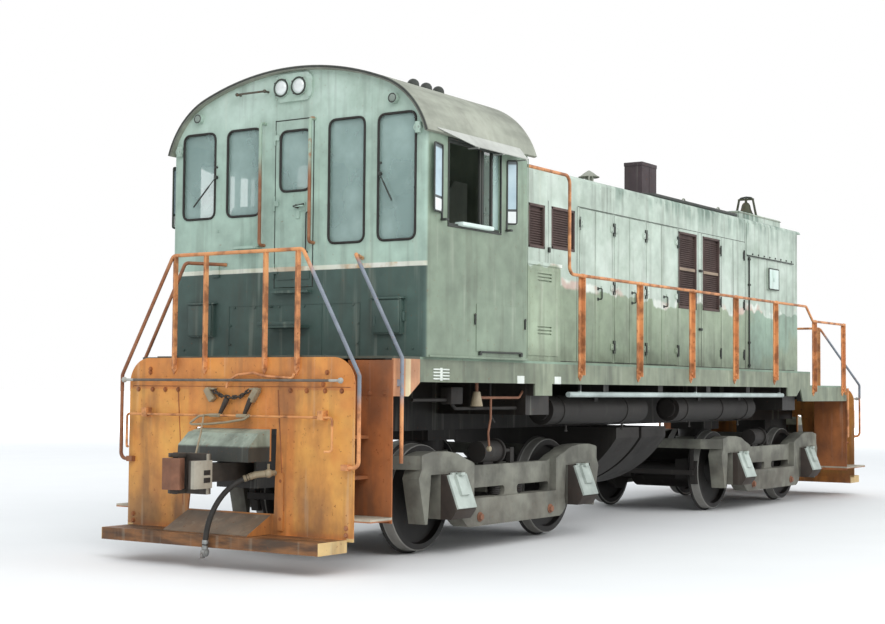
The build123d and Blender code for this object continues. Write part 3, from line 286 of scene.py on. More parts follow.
def orange_colour(f):
    """Safety orange that has gone yellow in panels and brown with rust."""
    base = f.cloud((202, 124, 58), (222, 150, 74), 1.0, 4.0, shift=3.0)
    wide = abs(f.y + 0.05)
    panels = wide.over(0.62, 0.02) * f.z.under(RAIL + 1.52, 0.006) * f.z.over(RAIL + 0.30, 0.02)
    base = f.mix(panels * 0.8, base, f.cloud((214, 148, 70), (228, 168, 84), 2.2, 4.0, shift=8.0))
    rust = f.noise(2.6, 5.0, stretch=(1, 1, 0.45), shift=12.0).over(0.54, 0.12)
    base = f.mix(rust * 0.62, base, srgb(142, 84, 46))
    low = f.z.under(0.70, 0.4) * f.noise(3.0, 4.0, stretch=(1, 1, 0.4), shift=2.0).over(0.46, 0.14)
    base = f.mix(low * 0.6, base, srgb(110, 82, 60))
    ahead = abs(f.x).over(PILOT + 0.020, 0.004)
    worn = f.noise(5.0, 4.0, stretch=(1, 1, 0.4), shift=6.0)
    # painted highlight: above z 1.052 the face ahead of the pilot is light grey-green as if lit, dark below it
    lit = f.mix(worn.over(0.45, 0.2), srgb(104, 114, 102), srgb(158, 170, 154))
    lit_above_dark_below = f.mix(f.z.over(1.052, 0.012), f.mix(worn, srgb(28, 30, 28), srgb(74, 76, 70)), lit)
    base = f.mix(ahead * f.z.over(0.86, 0.01), base, lit_above_dark_below)
    apron = ahead * f.z.over(0.292, 0.002) * f.z.under(0.52, 0.01) * f.y.over(-0.4294, 0.0003)
    base = f.mix(apron * 0.85, base, f.cloud((62, 58, 52), (128, 122, 108), 4.0, 4.0))
    board = ahead * f.z.under(0.291, 0.001)
    base = f.mix(board * 0.85, base, f.mix(f.noise(5.0, 4.0, stretch=(1, 0.6, 3), shift=5.0).over(0.5, 0.18),
                                           srgb(44, 34, 25), srgb(132, 88, 48)))
    tips = abs(f.y).over(1.244, 0.002) * f.z.under(0.30, 0.002)
    return f.mix(tips, base, srgb(198, 166, 112))


def rail_colour(f):
    """Orange rails with rust, rubbed to bare steel on the slopes beside the steps."""
    base = f.cloud((196, 122, 68), (222, 160, 108), 2.0, 4.0, shift=5.0)
    rust = f.noise(7.0, 4.0, shift=9.0).over(0.54, 0.1)
    base = f.mix(rust * 0.7, base, srgb(116, 66, 40))
    far = f.y.over(0.80, 0.05) * abs(f.x).over(5.60, 0.04)
    base = f.mix(far * 0.75, base, srgb(112, 66, 44))
    slope = f.y.under(-0.86, 0.05) * abs(f.x).over(5.60, 0.04) * f.z.over(1.46, 0.10)
    slope = slope * f.z.under(RAIL + 2.66, 0.05)
    steel = f.cloud((92, 98, 108), (142, 150, 160), 9.0, 3.0, shift=2.0)
    base = f.mix(slope * f.noise(3.0, 3.0, shift=4.0).over(0.36, 0.05), base, steel)
    grab = abs(f.x + 5.66).under(0.10, 0.01) * abs(f.y).under(0.72, 0.01) * f.z.over(2.86, 0.02)
    aged = f.mix(f.z.over(RAIL + 3.62, 0.16), srgb(132, 84, 54), srgb(150, 172, 154))
    green = f.mix(f.noise(5.0, 4.0, shift=8.0).over(0.56, 0.06), aged, srgb(150, 104, 72))
    green = f.mix(f.z.over(RAIL + 4.15, 0.02), green, srgb(72, 66, 54))
    return f.mix(grab, base, green)


def lever_colour(f):
    """An orange lift rod and above it a rod of dark steel with pale ends."""
    base = f.cloud((196, 124, 66), (226, 164, 104), 3.0, 4.0, shift=5.0)
    base = f.mix(f.noise(9.0, 4.0, shift=9.0).over(0.56, 0.1) * 0.7, base, srgb(116, 66, 40))
    rod = f.cloud((52, 52, 52), (120, 112, 100), 12.0, 4.0, shift=2.0)
    rod = f.mix(abs(f.y - 0.065).over(1.150, 0.01), rod, srgb(172, 172, 164))
    return f.mix(f.z.over(RAIL + 1.39, 0.01), base, rod)


def coupler_colour(f):
    """Greasy black with a pale, rubbed guard arm."""
    base = f.cloud((26, 24, 22), (74, 64, 54), 7.0, 5.0, shift=4.0)
    arm = abs(f.x).over(6.905, 0.004) * abs(f.y).over(0.196, 0.006) * (f.x * f.y).over(0.5, 0.1)
    return f.mix(arm, base, f.cloud((136, 130, 116), (184, 178, 162), 8.0, 4.0, shift=3.0))


def frame_colour(f):
    """Green on the outer sill, orange at its cab end, and beneath it sooty black darkened past paint as painted
    shade.
    """
    side = abs(f.y).over(1.462, 0.006) * f.z.over(RAIL + 1.30, 0.02)
    green = f.cloud((114, 122, 102), (140, 148, 127), 1.2, 4.0, shift=7.0)
    streaks = f.noise(5.0, 3.0, stretch=(1, 1, 0.2), shift=3.0).over(0.55, 0.1)
    green = f.mix(streaks * 0.5, green, srgb(84, 94, 80))
    green = f.mix(f.x.under(-3.60, 0.02) * 0.35, green, srgb(70, 78, 66))
    orange = f.cloud((166, 100, 56), (198, 152, 118), 3.0, 4.0, shift=1.0)
    cream = f.x.over(-5.86, 0.004) * f.x.under(-5.78, 0.004)
    orange = f.mix(cream, orange, srgb(206, 184, 146))
    green = f.mix(f.x.under(-5.640, 0.004), green, orange)
    # painted shade: black paint beneath the sill, darkened to near black for the shade under the frame
    black = f.cloud((7, 5, 3), (24, 18, 13), 2.0, 5.0, shift=4.0)
    return f.mix(side, black, green)


def deck_colour(f):
    edge = abs(f.y).over(1.474, 0.002) * f.x.over(-5.64, 0.01)
    top = f.cloud((62, 66, 58), (92, 98, 86), 2.5, 5.0, shift=6.0)
    return f.mix(edge, top, srgb(120, 140, 122))


def step_colour(f):
    base = f.cloud((150, 84, 44), (178, 110, 58), 2.0, 4.0, stretch=(1, 1, 0.5), shift=3.0)
    rust = f.noise(3.5, 5.0, stretch=(1, 1, 0.5), shift=9.0).over(0.5, 0.14)
    base = f.mix(rust * 0.7, base, srgb(112, 68, 42))
    worn = f.z.over(0.448, 0.004) * f.z.under(0.470, 0.002)
    return f.mix(worn * 0.8, base, srgb(172, 172, 156))


def along(f):
    """How far a point lies from the nearest axle, along the locomotive."""
    return abs(abs(abs(f.x) - TRUCK_CENTRE) - HALF_BASE)


def truck_colour(f):
    """Dusty castings, black journal boxes and pale lids on their leaning faces."""
    dust = f.cloud((100, 100, 90), (140, 140, 128), 2.4, 5.0, shift=2.0)
    soot = f.noise(3.0, 5.0, shift=8.0).over(0.50, 0.14)
    dust = f.mix(soot * 0.6, dust, srgb(62, 60, 56))
    low = f.z.under(0.62, 0.25) * f.noise(4.0, 4.0, shift=5.0).over(0.44, 0.16)
    dust = f.mix(low * 0.4, dust, srgb(88, 80, 70))
    box = along(f).under(0.172, 0.002) * abs(f.y).over(1.161, 0.002) * f.z.under(0.790, 0.004)
    dust = f.mix(box, dust, f.cloud((26, 23, 21), (70, 58, 50), 5.0, 4.0))
    lean = abs(f.y) - 1.215 - (0.761 - f.z) * 0.387
    lid = box * lean.over(0.006, 0.002)
    return f.mix(lid, dust, f.cloud((150, 160, 152), (188, 196, 188), 6.0, 4.0))


def wheel_colour(f):
    """Black wheels with a bright ring where the tread meets the face."""
    away = along(f)
    ring = away * away + (f.z - AXLE_LEVEL) * (f.z - AXLE_LEVEL)
    worn = ring.over(0.2440, 0.003) * ring.under(0.2640, 0.001)
    base = f.cloud((6, 5, 4), (20, 15, 11), 6.0, 4.0)
    return f.mix(worn * 0.75, base, srgb(150, 148, 142))


def roof_colour(f):
    base = f.cloud((138, 142, 128), (164, 166, 152), 0.9, 4.0, shift=3.0)
    seams = f.noise(6.0, 4.0, stretch=(0.2, 1, 1), shift=6.0).over(0.56, 0.12)
    base = f.mix(seams * 0.35, base, srgb(104, 108, 96))
    # painted shade: the roof's overhanging front lip is darkened for the shade under its edge
    edge = f.x.under(-5.66, 0.012) * f.z.over(RAIL + 3.7, 0.02)
    return f.mix(edge * 0.8, base, srgb(58, 62, 56))


def pipe_colour(f):
    """Pale pipes in dark hangers."""
    pale = f.cloud((146, 158, 154), (186, 196, 192), 2.5, 5.0, shift=4.0)
    return f.mix(f.z.over(1.556, 0.004), pale, srgb(26, 24, 22))


def plain(dark, light, scale=2.5):
    """A colour function that only blends two colours."""
    def colour(f):
        return f.cloud(dark, light, scale, 5.0, shift=4.0)
    return colour


def glass_material():
    f = Finish("window_glass_pale")
    dust = f.noise(2.0, 4.0, shift=3.0)
    colour = f.mix(dust, srgb(150, 182, 176), srgb(192, 214, 207))
    material = f.done(colour, dust * 0.14 + 0.03, IOR=1.45)
    alpha = 0.38 + dust.over(0.55, 0.2) * 0.16
    f.tree.links.new(alpha.socket, f.shader.inputs["Alpha"])
    return material


def lens_material():
    f = Finish("lamp_lens_ribbed")
    ribs = f.node("ShaderNodeTexWave", {"wave_type": "BANDS", "bands_direction": "Y"},
                  {"Vector": f.place, "Scale": 26.0, "Distortion": 0.4})
    colour = f.mix(ribs, srgb(196, 202, 200), srgb(238, 242, 240))
    return f.done(colour, 0.12, 0.35, height=ribs, depth=0.003, Coat_Weight=0.6)


def rubber_material(name, shade=26):
    f = Finish(name)
    colour = f.cloud((shade, shade, shade - 2), (shade + 26, shade + 22, shade + 18), 14.0, 3.0)
    return f.done(colour, 0.62 + f.noise(30.0, 2.0) * 0.2, height=f.noise(160.0, 2.0), depth=0.001)


def bare_metal(name, dark, light, metallic=0.75, rough=0.4):
    f = Finish(name)
    grain = f.noise(18.0, 4.0, shift=3.0)
    colour = f.mix(grain, srgb(*dark), srgb(*light))
    colour = f.mix(f.noise(5.0, 5.0, shift=9.0).over(0.58, 0.1) * 0.6, colour, srgb(92, 60, 40))
    return f.done(colour, rough + grain * 0.25, metallic, height=grain, depth=0.002)


def leather_material():
    f = Finish("seat_vinyl_worn")
    creases = f.node("ShaderNodeTexVoronoi", {"feature": "DISTANCE_TO_EDGE"},
                     {"Vector": f.place, "Scale": 130.0})
    colour = f.cloud((40, 34, 30), (66, 58, 50), 6.0, 4.0)
    return f.done(colour, 0.5 + f.noise(9.0, 3.0) * 0.2, height=creases, depth=0.0012)


def floor_material():
    f = Finish("pale_floor")
    colour = f.cloud((232, 232, 231), (238, 238, 237), 0.8, 3.0)
    material = f.done(colour, 0.85, Emission_Strength=1.0)
    far = f.x * f.x + f.y * f.y
    rays = f.node("ShaderNodeLightPath").socket.node
    seen = Signal(f, rays.outputs["Is Camera Ray"]) + Signal(f, rays.outputs["Is Glossy Ray"])
    seen = seen + Signal(f, rays.outputs["Is Transmission Ray"])
    glow = f.mix(far.over(1150.0, 950.0) * seen, srgb(0, 0, 0), srgb(255, 255, 255))
    f.tree.links.new(glow.socket, f.shader.inputs["Emission Color"])
    return material


M = {}


def mix_materials():
    """Every finish of the locomotive and the studio."""
    M.update(
        cab=weathered("cab_paint_green", cab_colour, 0.30, 0.55, 0.30),
        hood=weathered("hood_paint_faded", hood_colour, 0.25, 0.75, 0.22),
        orange=weathered("pilot_paint_orange", orange_colour, 0.65, 0.6, 0.5),
        rail=weathered("handrail_paint_orange", rail_colour, 0.8, 0.2, 0.2),
        sill=weathered("sill_paint_green", frame_colour, 0.35, 0.5, 0.4),
        deck=weathered("deck_plate_dark", deck_colour, 0.5, 0.1, 0.6, 0.7),
        steps=weathered("step_plate_orange", step_colour, 0.8, 0.5, 0.6, 0.7),
        truck=weathered("truck_casting_dusty", truck_colour, 0.2, 0.15, 0.3, 0.75),
        gear=weathered("truck_gear_sooty", plain((13, 12, 11), (42, 37, 33)), 0.2, 0.1, 0.2, 0.75),
        awning=weathered("awning_and_painted_pane_reflections", awning_colour, 0.1, 0.2, 0.1, 0.35),
        hood_top=weathered("hood_top_paint", hood_top_colour, 0.2, 0.4, 0.2, 0.6),
        band=weathered("grille_band_brown", plain((128, 108, 90), (168, 150, 130)), 0.3, 0.1, 0.3, 0.7),
        roof=weathered("roof_paint_grey", roof_colour, 0.2, 0.25, 0.3, 0.7),
        # painted shade: black paint on the tank, reservoirs and pipes, darkened to near black for the shade
        # under the frame
        black=weathered("underbody_black_and_painted_shade", plain((7, 5, 3), (24, 18, 13)), 0.15, 0.05, 0.2, 0.7),
        stack=weathered("stack_burnt_steel", plain((44, 36, 40), (78, 66, 68)), 0.5, 0.7, 0.4, 0.75),
        pipe=weathered("sill_pipe_grey", pipe_colour, 0.2, 0.1, 0.2),
        lever=weathered("lever_paint_and_steel", lever_colour, 0.5, 0.1, 0.2),
        fitting=weathered("pipe_fitting_tan", plain((122, 110, 88), (170, 156, 128), 9.0), 0.4, 0.1, 0.3),
        marker=weathered("marker_lens_dull", plain((112, 124, 114), (146, 158, 148)), 0.1, 0.1, 0.1, 0.25),
        grille=weathered("grille_brown", plain((58, 44, 42), (98, 78, 72), 6.0), 0.4, 0.2, 0.4, 0.75),
        coupler=weathered("coupler_casting_greasy", coupler_colour, 0.3, 0.1, 0.3, 0.7),
        rusty=weathered("knuckle_casting_rusty", plain((94, 60, 44), (152, 104, 78), 7.0), 0.5, 0.1, 0.3, 0.75),
        dark=weathered("hinge_iron_dark", plain((30, 34, 32), (62, 66, 60), 9.0), 0.4, 0.1, 0.4, 0.6),
        inside=weathered("cab_inside_grey", plain((88, 96, 84), (116, 122, 106)), 0.2, 0.1, 0.3, 0.6),
        engine=weathered("engine_grey", plain((70, 74, 72), (96, 98, 94)), 0.2, 0.4, 0.6, 0.6),
        white=weathered("white_paint_and_painted_highlight", plain((192, 198, 190), (220, 224, 216)), 0.1, 0.1, 0.1),
        lid=weathered("box_mint_pale", plain((194, 212, 203), (220, 232, 225)), 0.2, 0.3, 0.1),
        tread=weathered("wheel_steel_black", wheel_colour, 0.2, 0.0, 0.2, 0.6),
        steel=bare_metal("bright_steel_worn", (120, 122, 120), (176, 178, 176), 0.8, 0.35),
        brass=bare_metal("bell_bronze_dull", (56, 62, 54), (92, 92, 72), 0.6, 0.5),
        gasket=rubber_material("window_rubber", 18),
        hose=rubber_material("hose_rubber_black", 28),
        glass=glass_material(), lens=lens_material(), seat=leather_material(), floor=floor_material(),
    )


# Shapes


def release():
    """Object mode with nothing selected."""
    if bpy.context.object and bpy.context.object.mode != "OBJECT":
        bpy.ops.object.mode_set(mode="OBJECT")
    bpy.ops.object.select_all(action="DESELECT")


def hold(objects):
    """Select these objects and make the first one active."""
    release()
    for item in objects:
        item.select_set(True)
    bpy.context.view_layer.objects.active = objects[0]


def settle(item):
    """Put the object's place, turn and size into its mesh."""
    hold([item])
    bpy.ops.object.transform_apply(location=True, rotation=True, scale=True)
    return item


def finish_edges(item, width, angle=40):
    """Round the sharp edges and smooth the rest."""
    hold([item])
    bevel = item.modifiers.new("edges", "BEVEL")
    bevel.width, bevel.segments, bevel.limit_method = width, 2, "ANGLE"
    bevel.angle_limit = math.radians(angle)
    bpy.ops.object.modifier_apply(modifier="edges")
    bpy.ops.object.shade_smooth_by_angle(angle=math.radians(angle))
    return item


def slab(low, high, edge=0.003):
    """A block between two corners with rounded edges."""
    low, high = Vector(low), Vector(high)
    release()
    bpy.ops.mesh.primitive_cube_add(size=1, location=(low + high) / 2)
    item = bpy.context.object
    item.scale = [abs(v) for v in (high - low)]
    settle(item)
    return finish_edges(item, edge) if edge else item


def drum(start, end, radius, sides=20, edge=0.0, tip=None):
    """A round bar from one point to another, coned if a tip radius is given."""
    start, end = Vector(start), Vector(end)
    way = end - start
    turn = way.to_track_quat("Z", "Y").to_euler()
    release()
    bpy.ops.mesh.primitive_cone_add(vertices=sides, radius1=radius, radius2=radius if tip is None else tip,
                                    depth=way.length, location=(start + end) / 2, rotation=turn)
    item = settle(bpy.context.object)
    if edge:
        return finish_edges(item, edge)
    hold([item])
    bpy.ops.object.shade_smooth_by_angle(angle=math.radians(40))
    return item


def ball(centre, radius, squash=(1, 1, 1), segments=20, rings=12):
    release()
    bpy.ops.mesh.primitive_uv_sphere_add(segments=segments, ring_count=rings, radius=radius, location=centre)
    item = bpy.context.object
    item.scale = squash
    settle(item)
    bpy.ops.object.shade_smooth()
    return item


def corners(points, radius, steps=5, closed=False):
    """The points of a line with its corners rounded to a radius."""
    points = [Vector(p) for p in points]
    line = []
    count = len(points)
    for i, here in enumerate(points):
        if not closed and i in (0, count - 1):
            line.append(here)
            continue
        before, after = points[i - 1], points[(i + 1) % count]
        a, b = (before - here), (after - here)
        half = a.angle(b) / 2
        reach = min(radius / math.tan(half), a.length * 0.49, b.length * 0.49)
        p, q = here + a.normalized() * reach, here + b.normalized() * reach
        for step in range(steps + 1):
            t = step / steps
            line.append(p.lerp(here, t).lerp(here.lerp(q, t), t))
    return line


def tube(points, radius, bend=0.0, closed=False, sides=10):
    """A round pipe along a line."""
    line = corners(points, bend, closed=closed) if bend else [Vector(p) for p in points]
    curve = bpy.data.curves.new("pipe", "CURVE")
    curve.dimensions, curve.bevel_depth, curve.bevel_resolution = "3D", radius, max(1, sides // 4)
    curve.use_fill_caps = not closed
    run = curve.splines.new("POLY")
    run.points.add(len(line) - 1)
    for point, place in zip(run.points, line):
        point.co = (*place, 1)
    run.use_cyclic_u = closed
    item = bpy.data.objects.new("pipe", curve)
    bpy.context.scene.collection.objects.link(item)
    hold([item])
    bpy.ops.object.convert(target="MESH")
    item = bpy.context.object
    bpy.ops.object.shade_smooth()
    return item


def hoop(centre, reach, radius, count, axis="x"):
    """A thin ring round a point, with its opening along an axis."""
    first, second = {"x": (1, 2), "y": (0, 2), "z": (0, 1)}[axis]
    line = []
    for i in range(count):
        point = list(centre)
        point[first] += reach * math.cos(i * math.tau / count)
        point[second] += reach * math.sin(i * math.tau / count)
        line.append(point)
    return tube(line, radius, closed=True)


def copies(model, places):
    """Copies of one shape, each moved by a matrix, with the model removed."""
    made = []
    for place in places:
        twin = bpy.data.objects.new("copy", model.data.copy())
        bpy.context.scene.collection.objects.link(twin)
        twin.data.transform(place if isinstance(place, Matrix) else Matrix.Translation(place))
        made.append(twin)
    bpy.data.objects.remove(model)
    return made


def bolt(radius=0.016, way=(-1, 0, 0)):
    """A hexagon head on a washer, at the origin, standing out along an axis."""
    way = Vector(way)
    washer = drum((0, 0, 0), way * radius * 0.3, radius * 1.35, sides=10)
    head = drum(way * radius * 0.3, way * radius * 1.0, radius, sides=6, tip=radius * 0.9)
    return join([washer, head])


def rivet(radius=0.016, way=(-1, 0, 0)):
    """A half-round rivet head at the origin."""
    way = Vector(way)
    squash = [0.6 if abs(v) > 0.5 else 1 for v in way]
    return ball((0, 0, 0), radius, squash, segments=8, rings=6)


def join(objects):
    hold(objects)
    if len(objects) > 1:
        bpy.ops.object.join()
    return bpy.context.object


def piece(name, body, material, objects, replaces=()):
    """Join the shapes to one named piece that rides on a body."""
    item = settle(join(objects))
    item.name = item.data.name = name
    item.data.materials.clear()
    item.data.materials.append(M[material])
    for polygon in item.data.polygons:
        polygon.material_index = 0
    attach(item, body)
    if replaces:
        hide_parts(*replaces)
    return item


def mirrored(shape_of):
    """The shapes that a function makes for each side, right and then left."""
    return [item for side in (-1, 1) for item in shape_of(side)]


def cast_copy(node, width, angle=30):
    """A copy of a CAD node with its doubles merged and its edges rounded."""
    release()
    item = bpy.data.objects.new(node + "_cast", NODES[node].data.copy())
    bpy.context.scene.collection.objects.link(item)
    hold([item])
    bpy.ops.object.mode_set(mode="EDIT")
    bpy.ops.mesh.select_all(action="SELECT")
    bpy.ops.mesh.remove_doubles(threshold=0.00005)
    bpy.ops.mesh.dissolve_limited(angle_limit=math.radians(1.0))
    bpy.ops.object.mode_set(mode="OBJECT")
    return finish_edges(item, width, angle)


def paint(material, *names):
    """Give CAD nodes a material."""
    for name in names:
        data = NODES[name].data
        data.materials.clear()
        data.materials.append(M[material])


# Sizes and colours that a user may change


def length(name, description, default):
    """A property in metres."""
    return bpy.props.FloatProperty(name=name, description=description, default=default,
                                   subtype="DISTANCE", unit="LENGTH")


class StudioSizes(bpy.types.PropertyGroup):
    """The studio and the camera."""

    lens: bpy.props.FloatProperty(name="Lens", description="Focal length on a 36 mm sensor", default=62.862)
    floor: length("Floor", "Half the width of the floor", 400.0)
    sky: bpy.props.FloatProperty(name="Sky light", description="Strength of the sky", default=0.95)


class FittingSizes(bpy.types.PropertyGroup):
    """Sizes of the fittings."""

    gasket: length("Window rubber", "Radius of the rubber round each pane", 0.012)
    slat: length("Slat pitch", "Distance between grille slats", 0.026)
    bolt: length("Bolt", "Radius of a bolt head on a post", 0.018)
    hose: length("Hose", "Diameter of the brake hose", 0.048)


def sizes():
    return bpy.context.scene.loco_fittings


# Pieces


class LOCO_OT_stage(bpy.types.Operator):
    """Build the floor, the light and the camera at the photograph's angle"""

    bl_idname = "loco.stage"
    bl_label = "Stage and camera"

    def execute(self, context):
        studio = context.scene.loco_studio
        release()
        bpy.ops.mesh.primitive_plane_add(size=2 * studio.floor, location=(0, 0, 0))
        floor = settle(context.object)
        floor.name = "studio_floor"
        floor.data.materials.append(M["floor"])

        world = bpy.data.worlds.new("studio_world")
        context.scene.world = world
        world.use_nodes = True
        tree = world.node_tree
        tree.nodes.clear()
        rays = tree.nodes.new("ShaderNodeLightPath")
        shown = tree.nodes.new("ShaderNodeBackground")
        lit = tree.nodes.new("ShaderNodeBackground")
        pick = tree.nodes.new("ShaderNodeMixShader")
        out = tree.nodes.new("ShaderNodeOutputWorld")
        either = tree.nodes.new("ShaderNodeMath")
        both = tree.nodes.new("ShaderNodeMath")
        either.operation = both.operation = "MAXIMUM"
        shown.inputs[0].default_value = (1, 1, 1, 1)
        shown.inputs[1].default_value = 1.0
        lit.inputs[0].default_value = (0.90, 0.95, 1.0, 1)
        lit.inputs[1].default_value = studio.sky
        tree.links.new(rays.outputs["Is Camera Ray"], either.inputs[0])
        tree.links.new(rays.outputs["Is Glossy Ray"], either.inputs[1])
        tree.links.new(either.outputs[0], both.inputs[0])
        tree.links.new(rays.outputs["Is Transmission Ray"], both.inputs[1])
        tree.links.new(both.outputs[0], pick.inputs[0])
        tree.links.new(lit.outputs[0], pick.inputs[1])
        tree.links.new(shown.outputs[0], pick.inputs[2])
        tree.links.new(pick.outputs[0], out.inputs[0])

        for name, place, aim, power, size in (
                ("key_light", (-16, -14, 15), (-1, 0, 1.5), 1900, 12),
                ("side_light", (6, -22, 13), (1, 0, 1.5), 1900, 14),
                ("back_light", (0, 18, 16), (0, 0, 2), 900, 16)):
            lamp = bpy.data.lights.new(name, "AREA")
            lamp.energy, lamp.size = power, size
            holder = bpy.data.objects.new(name, lamp)
            holder.location = place
            holder.rotation_euler = (Vector(aim) - Vector(place)).to_track_quat("-Z", "Y").to_euler()
            context.scene.collection.objects.link(holder)

        yaw, pitch, roll = CAMERA_YAW, CAMERA_PITCH, CAMERA_ROLL
        ahead = Vector((math.cos(pitch) * math.cos(yaw), math.cos(pitch) * math.sin(yaw), math.sin(pitch)))
        right = ahead.cross(Vector((0, 0, 1))).normalized()
        up = right.cross(ahead)
        turned_right = right * math.cos(roll) + up * math.sin(roll)
        turned_up = up * math.cos(roll) - right * math.sin(roll)
        data = bpy.data.cameras.new("photo_camera")
        data.lens, data.sensor_width, data.clip_end = studio.lens, 36.0, 2000
        camera = bpy.data.objects.new("photo_camera", data)
        axes = Matrix((turned_right, turned_up, -ahead)).transposed()
        camera.matrix_world = Matrix.Translation(CAMERA_PLACE) @ axes.to_4x4()
        context.scene.collection.objects.link(camera)
        context.scene.camera = camera
        context.scene.view_settings.view_transform = "Standard"
        return {"FINISHED"}


class LOCO_OT_brake_hose(bpy.types.Operator):
    """Hang the brake hose with its clamps and coupling head"""

    bl_idname = "loco.brake_hose"
    bl_label = "Brake hose"

    def execute(self, context):
        width = sizes().hose
        curve = bpy.data.curves.new("brake_hose", "CURVE")
        curve.dimensions, curve.bevel_depth, curve.bevel_resolution = "3D", width / 2, 4
        curve.resolution_u, curve.use_fill_caps = 16, True
        line = curve.splines.new("NURBS")
        line.points.add(len(HOSE_ROUTE) - 1)
        for point, place in zip(line.points, HOSE_ROUTE):
            point.co = (*place, 1)
        line.order_u, line.use_endpoint_u = 3, True
        hose = bpy.data.objects.new("brake_hose", curve)
        context.scene.collection.objects.link(hose)
        curve.materials.append(M["hose"])
        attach(hose, "frame")
        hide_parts("air_hose")

        a, b = Vector(HOSE_ROUTE[0]), Vector(HOSE_ROUTE[1])
        c, d = Vector(HOSE_ROUTE[-2]), Vector(HOSE_ROUTE[-1])
        out, down = (b - a).normalized(), (d - c).normalized()
        parts = [drum(d - down * 0.045, d - down * 0.01, 0.0275, edge=0.002),
                 drum(d + down * 0.001, d + down * 0.030, 0.024),
                 drum(d + down * 0.018, d + down * 0.034, 0.030, edge=0.002)]
        head = Vector((d.x, d.y, d.z - 0.062))
        parts += [drum(head + Vector((0, -0.021, 0)), head + Vector((0, 0.021, 0)), 0.036, edge=0.003),
                  drum(head + Vector((0, -0.0305, 0)), head + Vector((0, 0.0305, 0)), 0.022, edge=0.002),
                  slab((d.x - 0.050, d.y - 0.012, d.z - 0.110), (d.x - 0.006, d.y + 0.012, d.z - 0.070), 0.005)]
        coupling = piece("hose_coupling_head", "frame", "steel", parts, ["glad_hand"])
        clamps = [drum(a + out * s, a + out * t, radius, edge=0.002)
                  for s, t, radius in ((0.001, 0.030, 0.031), (0.034, 0.050, 0.0275), (0.056, 0.082, 0.030))]
        clamp = piece("hose_clamps", "frame", "fitting", clamps)
        return {"FINISHED"}


NODE_FINISHES = {
    # material: the CAD nodes that have it, besides the hood's door leaves
    "cab": "cab_end_wall cab_front_wall cab_left_wall cab_right_wall cab_door lamps",
    "hood": "hood_left_side hood_right_side hood_front battery_boxes radiator_hatch",
    "roof": "cab_roof",
    "awning": "cab_awnings",
    "hood_top": "hood_roof",
    "dark": "roof_fittings",
    "orange": "pilots footboards",
    "rail": "end_handrails side_handrails",
    "lever": "cut_levers",
    "sill": "underframe",
    "deck": "deck",
    "steps": "corner_steps",
    "truck": "truck_frame_cab_end truck_frame_hood_end",
    "gear": "truck_gear_cab_end truck_gear_hood_end",
    "black": "fuel_tank air_reservoirs",
    "pipe": "sill_pipes",
    "stack": "exhaust_stack",
    "engine": "engine",
    "inside": "cab_floor",
    "coupler": "couplers",
    "rusty": "knuckle_cab_end knuckle_hood_end",
    "fitting": "angle_cocks",
    "tread": "wheelset_1 wheelset_2 wheelset_3 wheelset_4",
    "glass": "cab_glass cab_door_glass",
    "brass": "bell",
    "grille": "hood_grilles",
}


class LOCO_OT_finishes(bpy.types.Operator):
    """Give every CAD node its weathered finish"""

    bl_idname = "loco.finishes"
    bl_label = "Node finishes"

    def execute(self, context):
        for material, names in NODE_FINISHES.items():
            paint(material, *names.split())
        paint("hood", *(name for name in NODES if name.startswith("hood_door_")))
        for node in NODES.values():
            hold([node])
            bpy.ops.object.shade_smooth_by_angle(angle=math.radians(32))
        return {"FINISHED"}


def pane_ring(plane_x, window, radius, corner=0.076):
    """A rubber ring round an upright window in a wall across the cab."""
    y0, y1, z0, z1 = window
    y0, y1, z0, z1 = y0 + 0.008, y1 - 0.008, z0 + 0.008, z1 - 0.008
    line = [(plane_x, y0, z0), (plane_x, y1, z0), (plane_x, y1, z1), (plane_x, y0, z1)]
    return tube(line, radius, bend=corner, closed=True, sides=12)


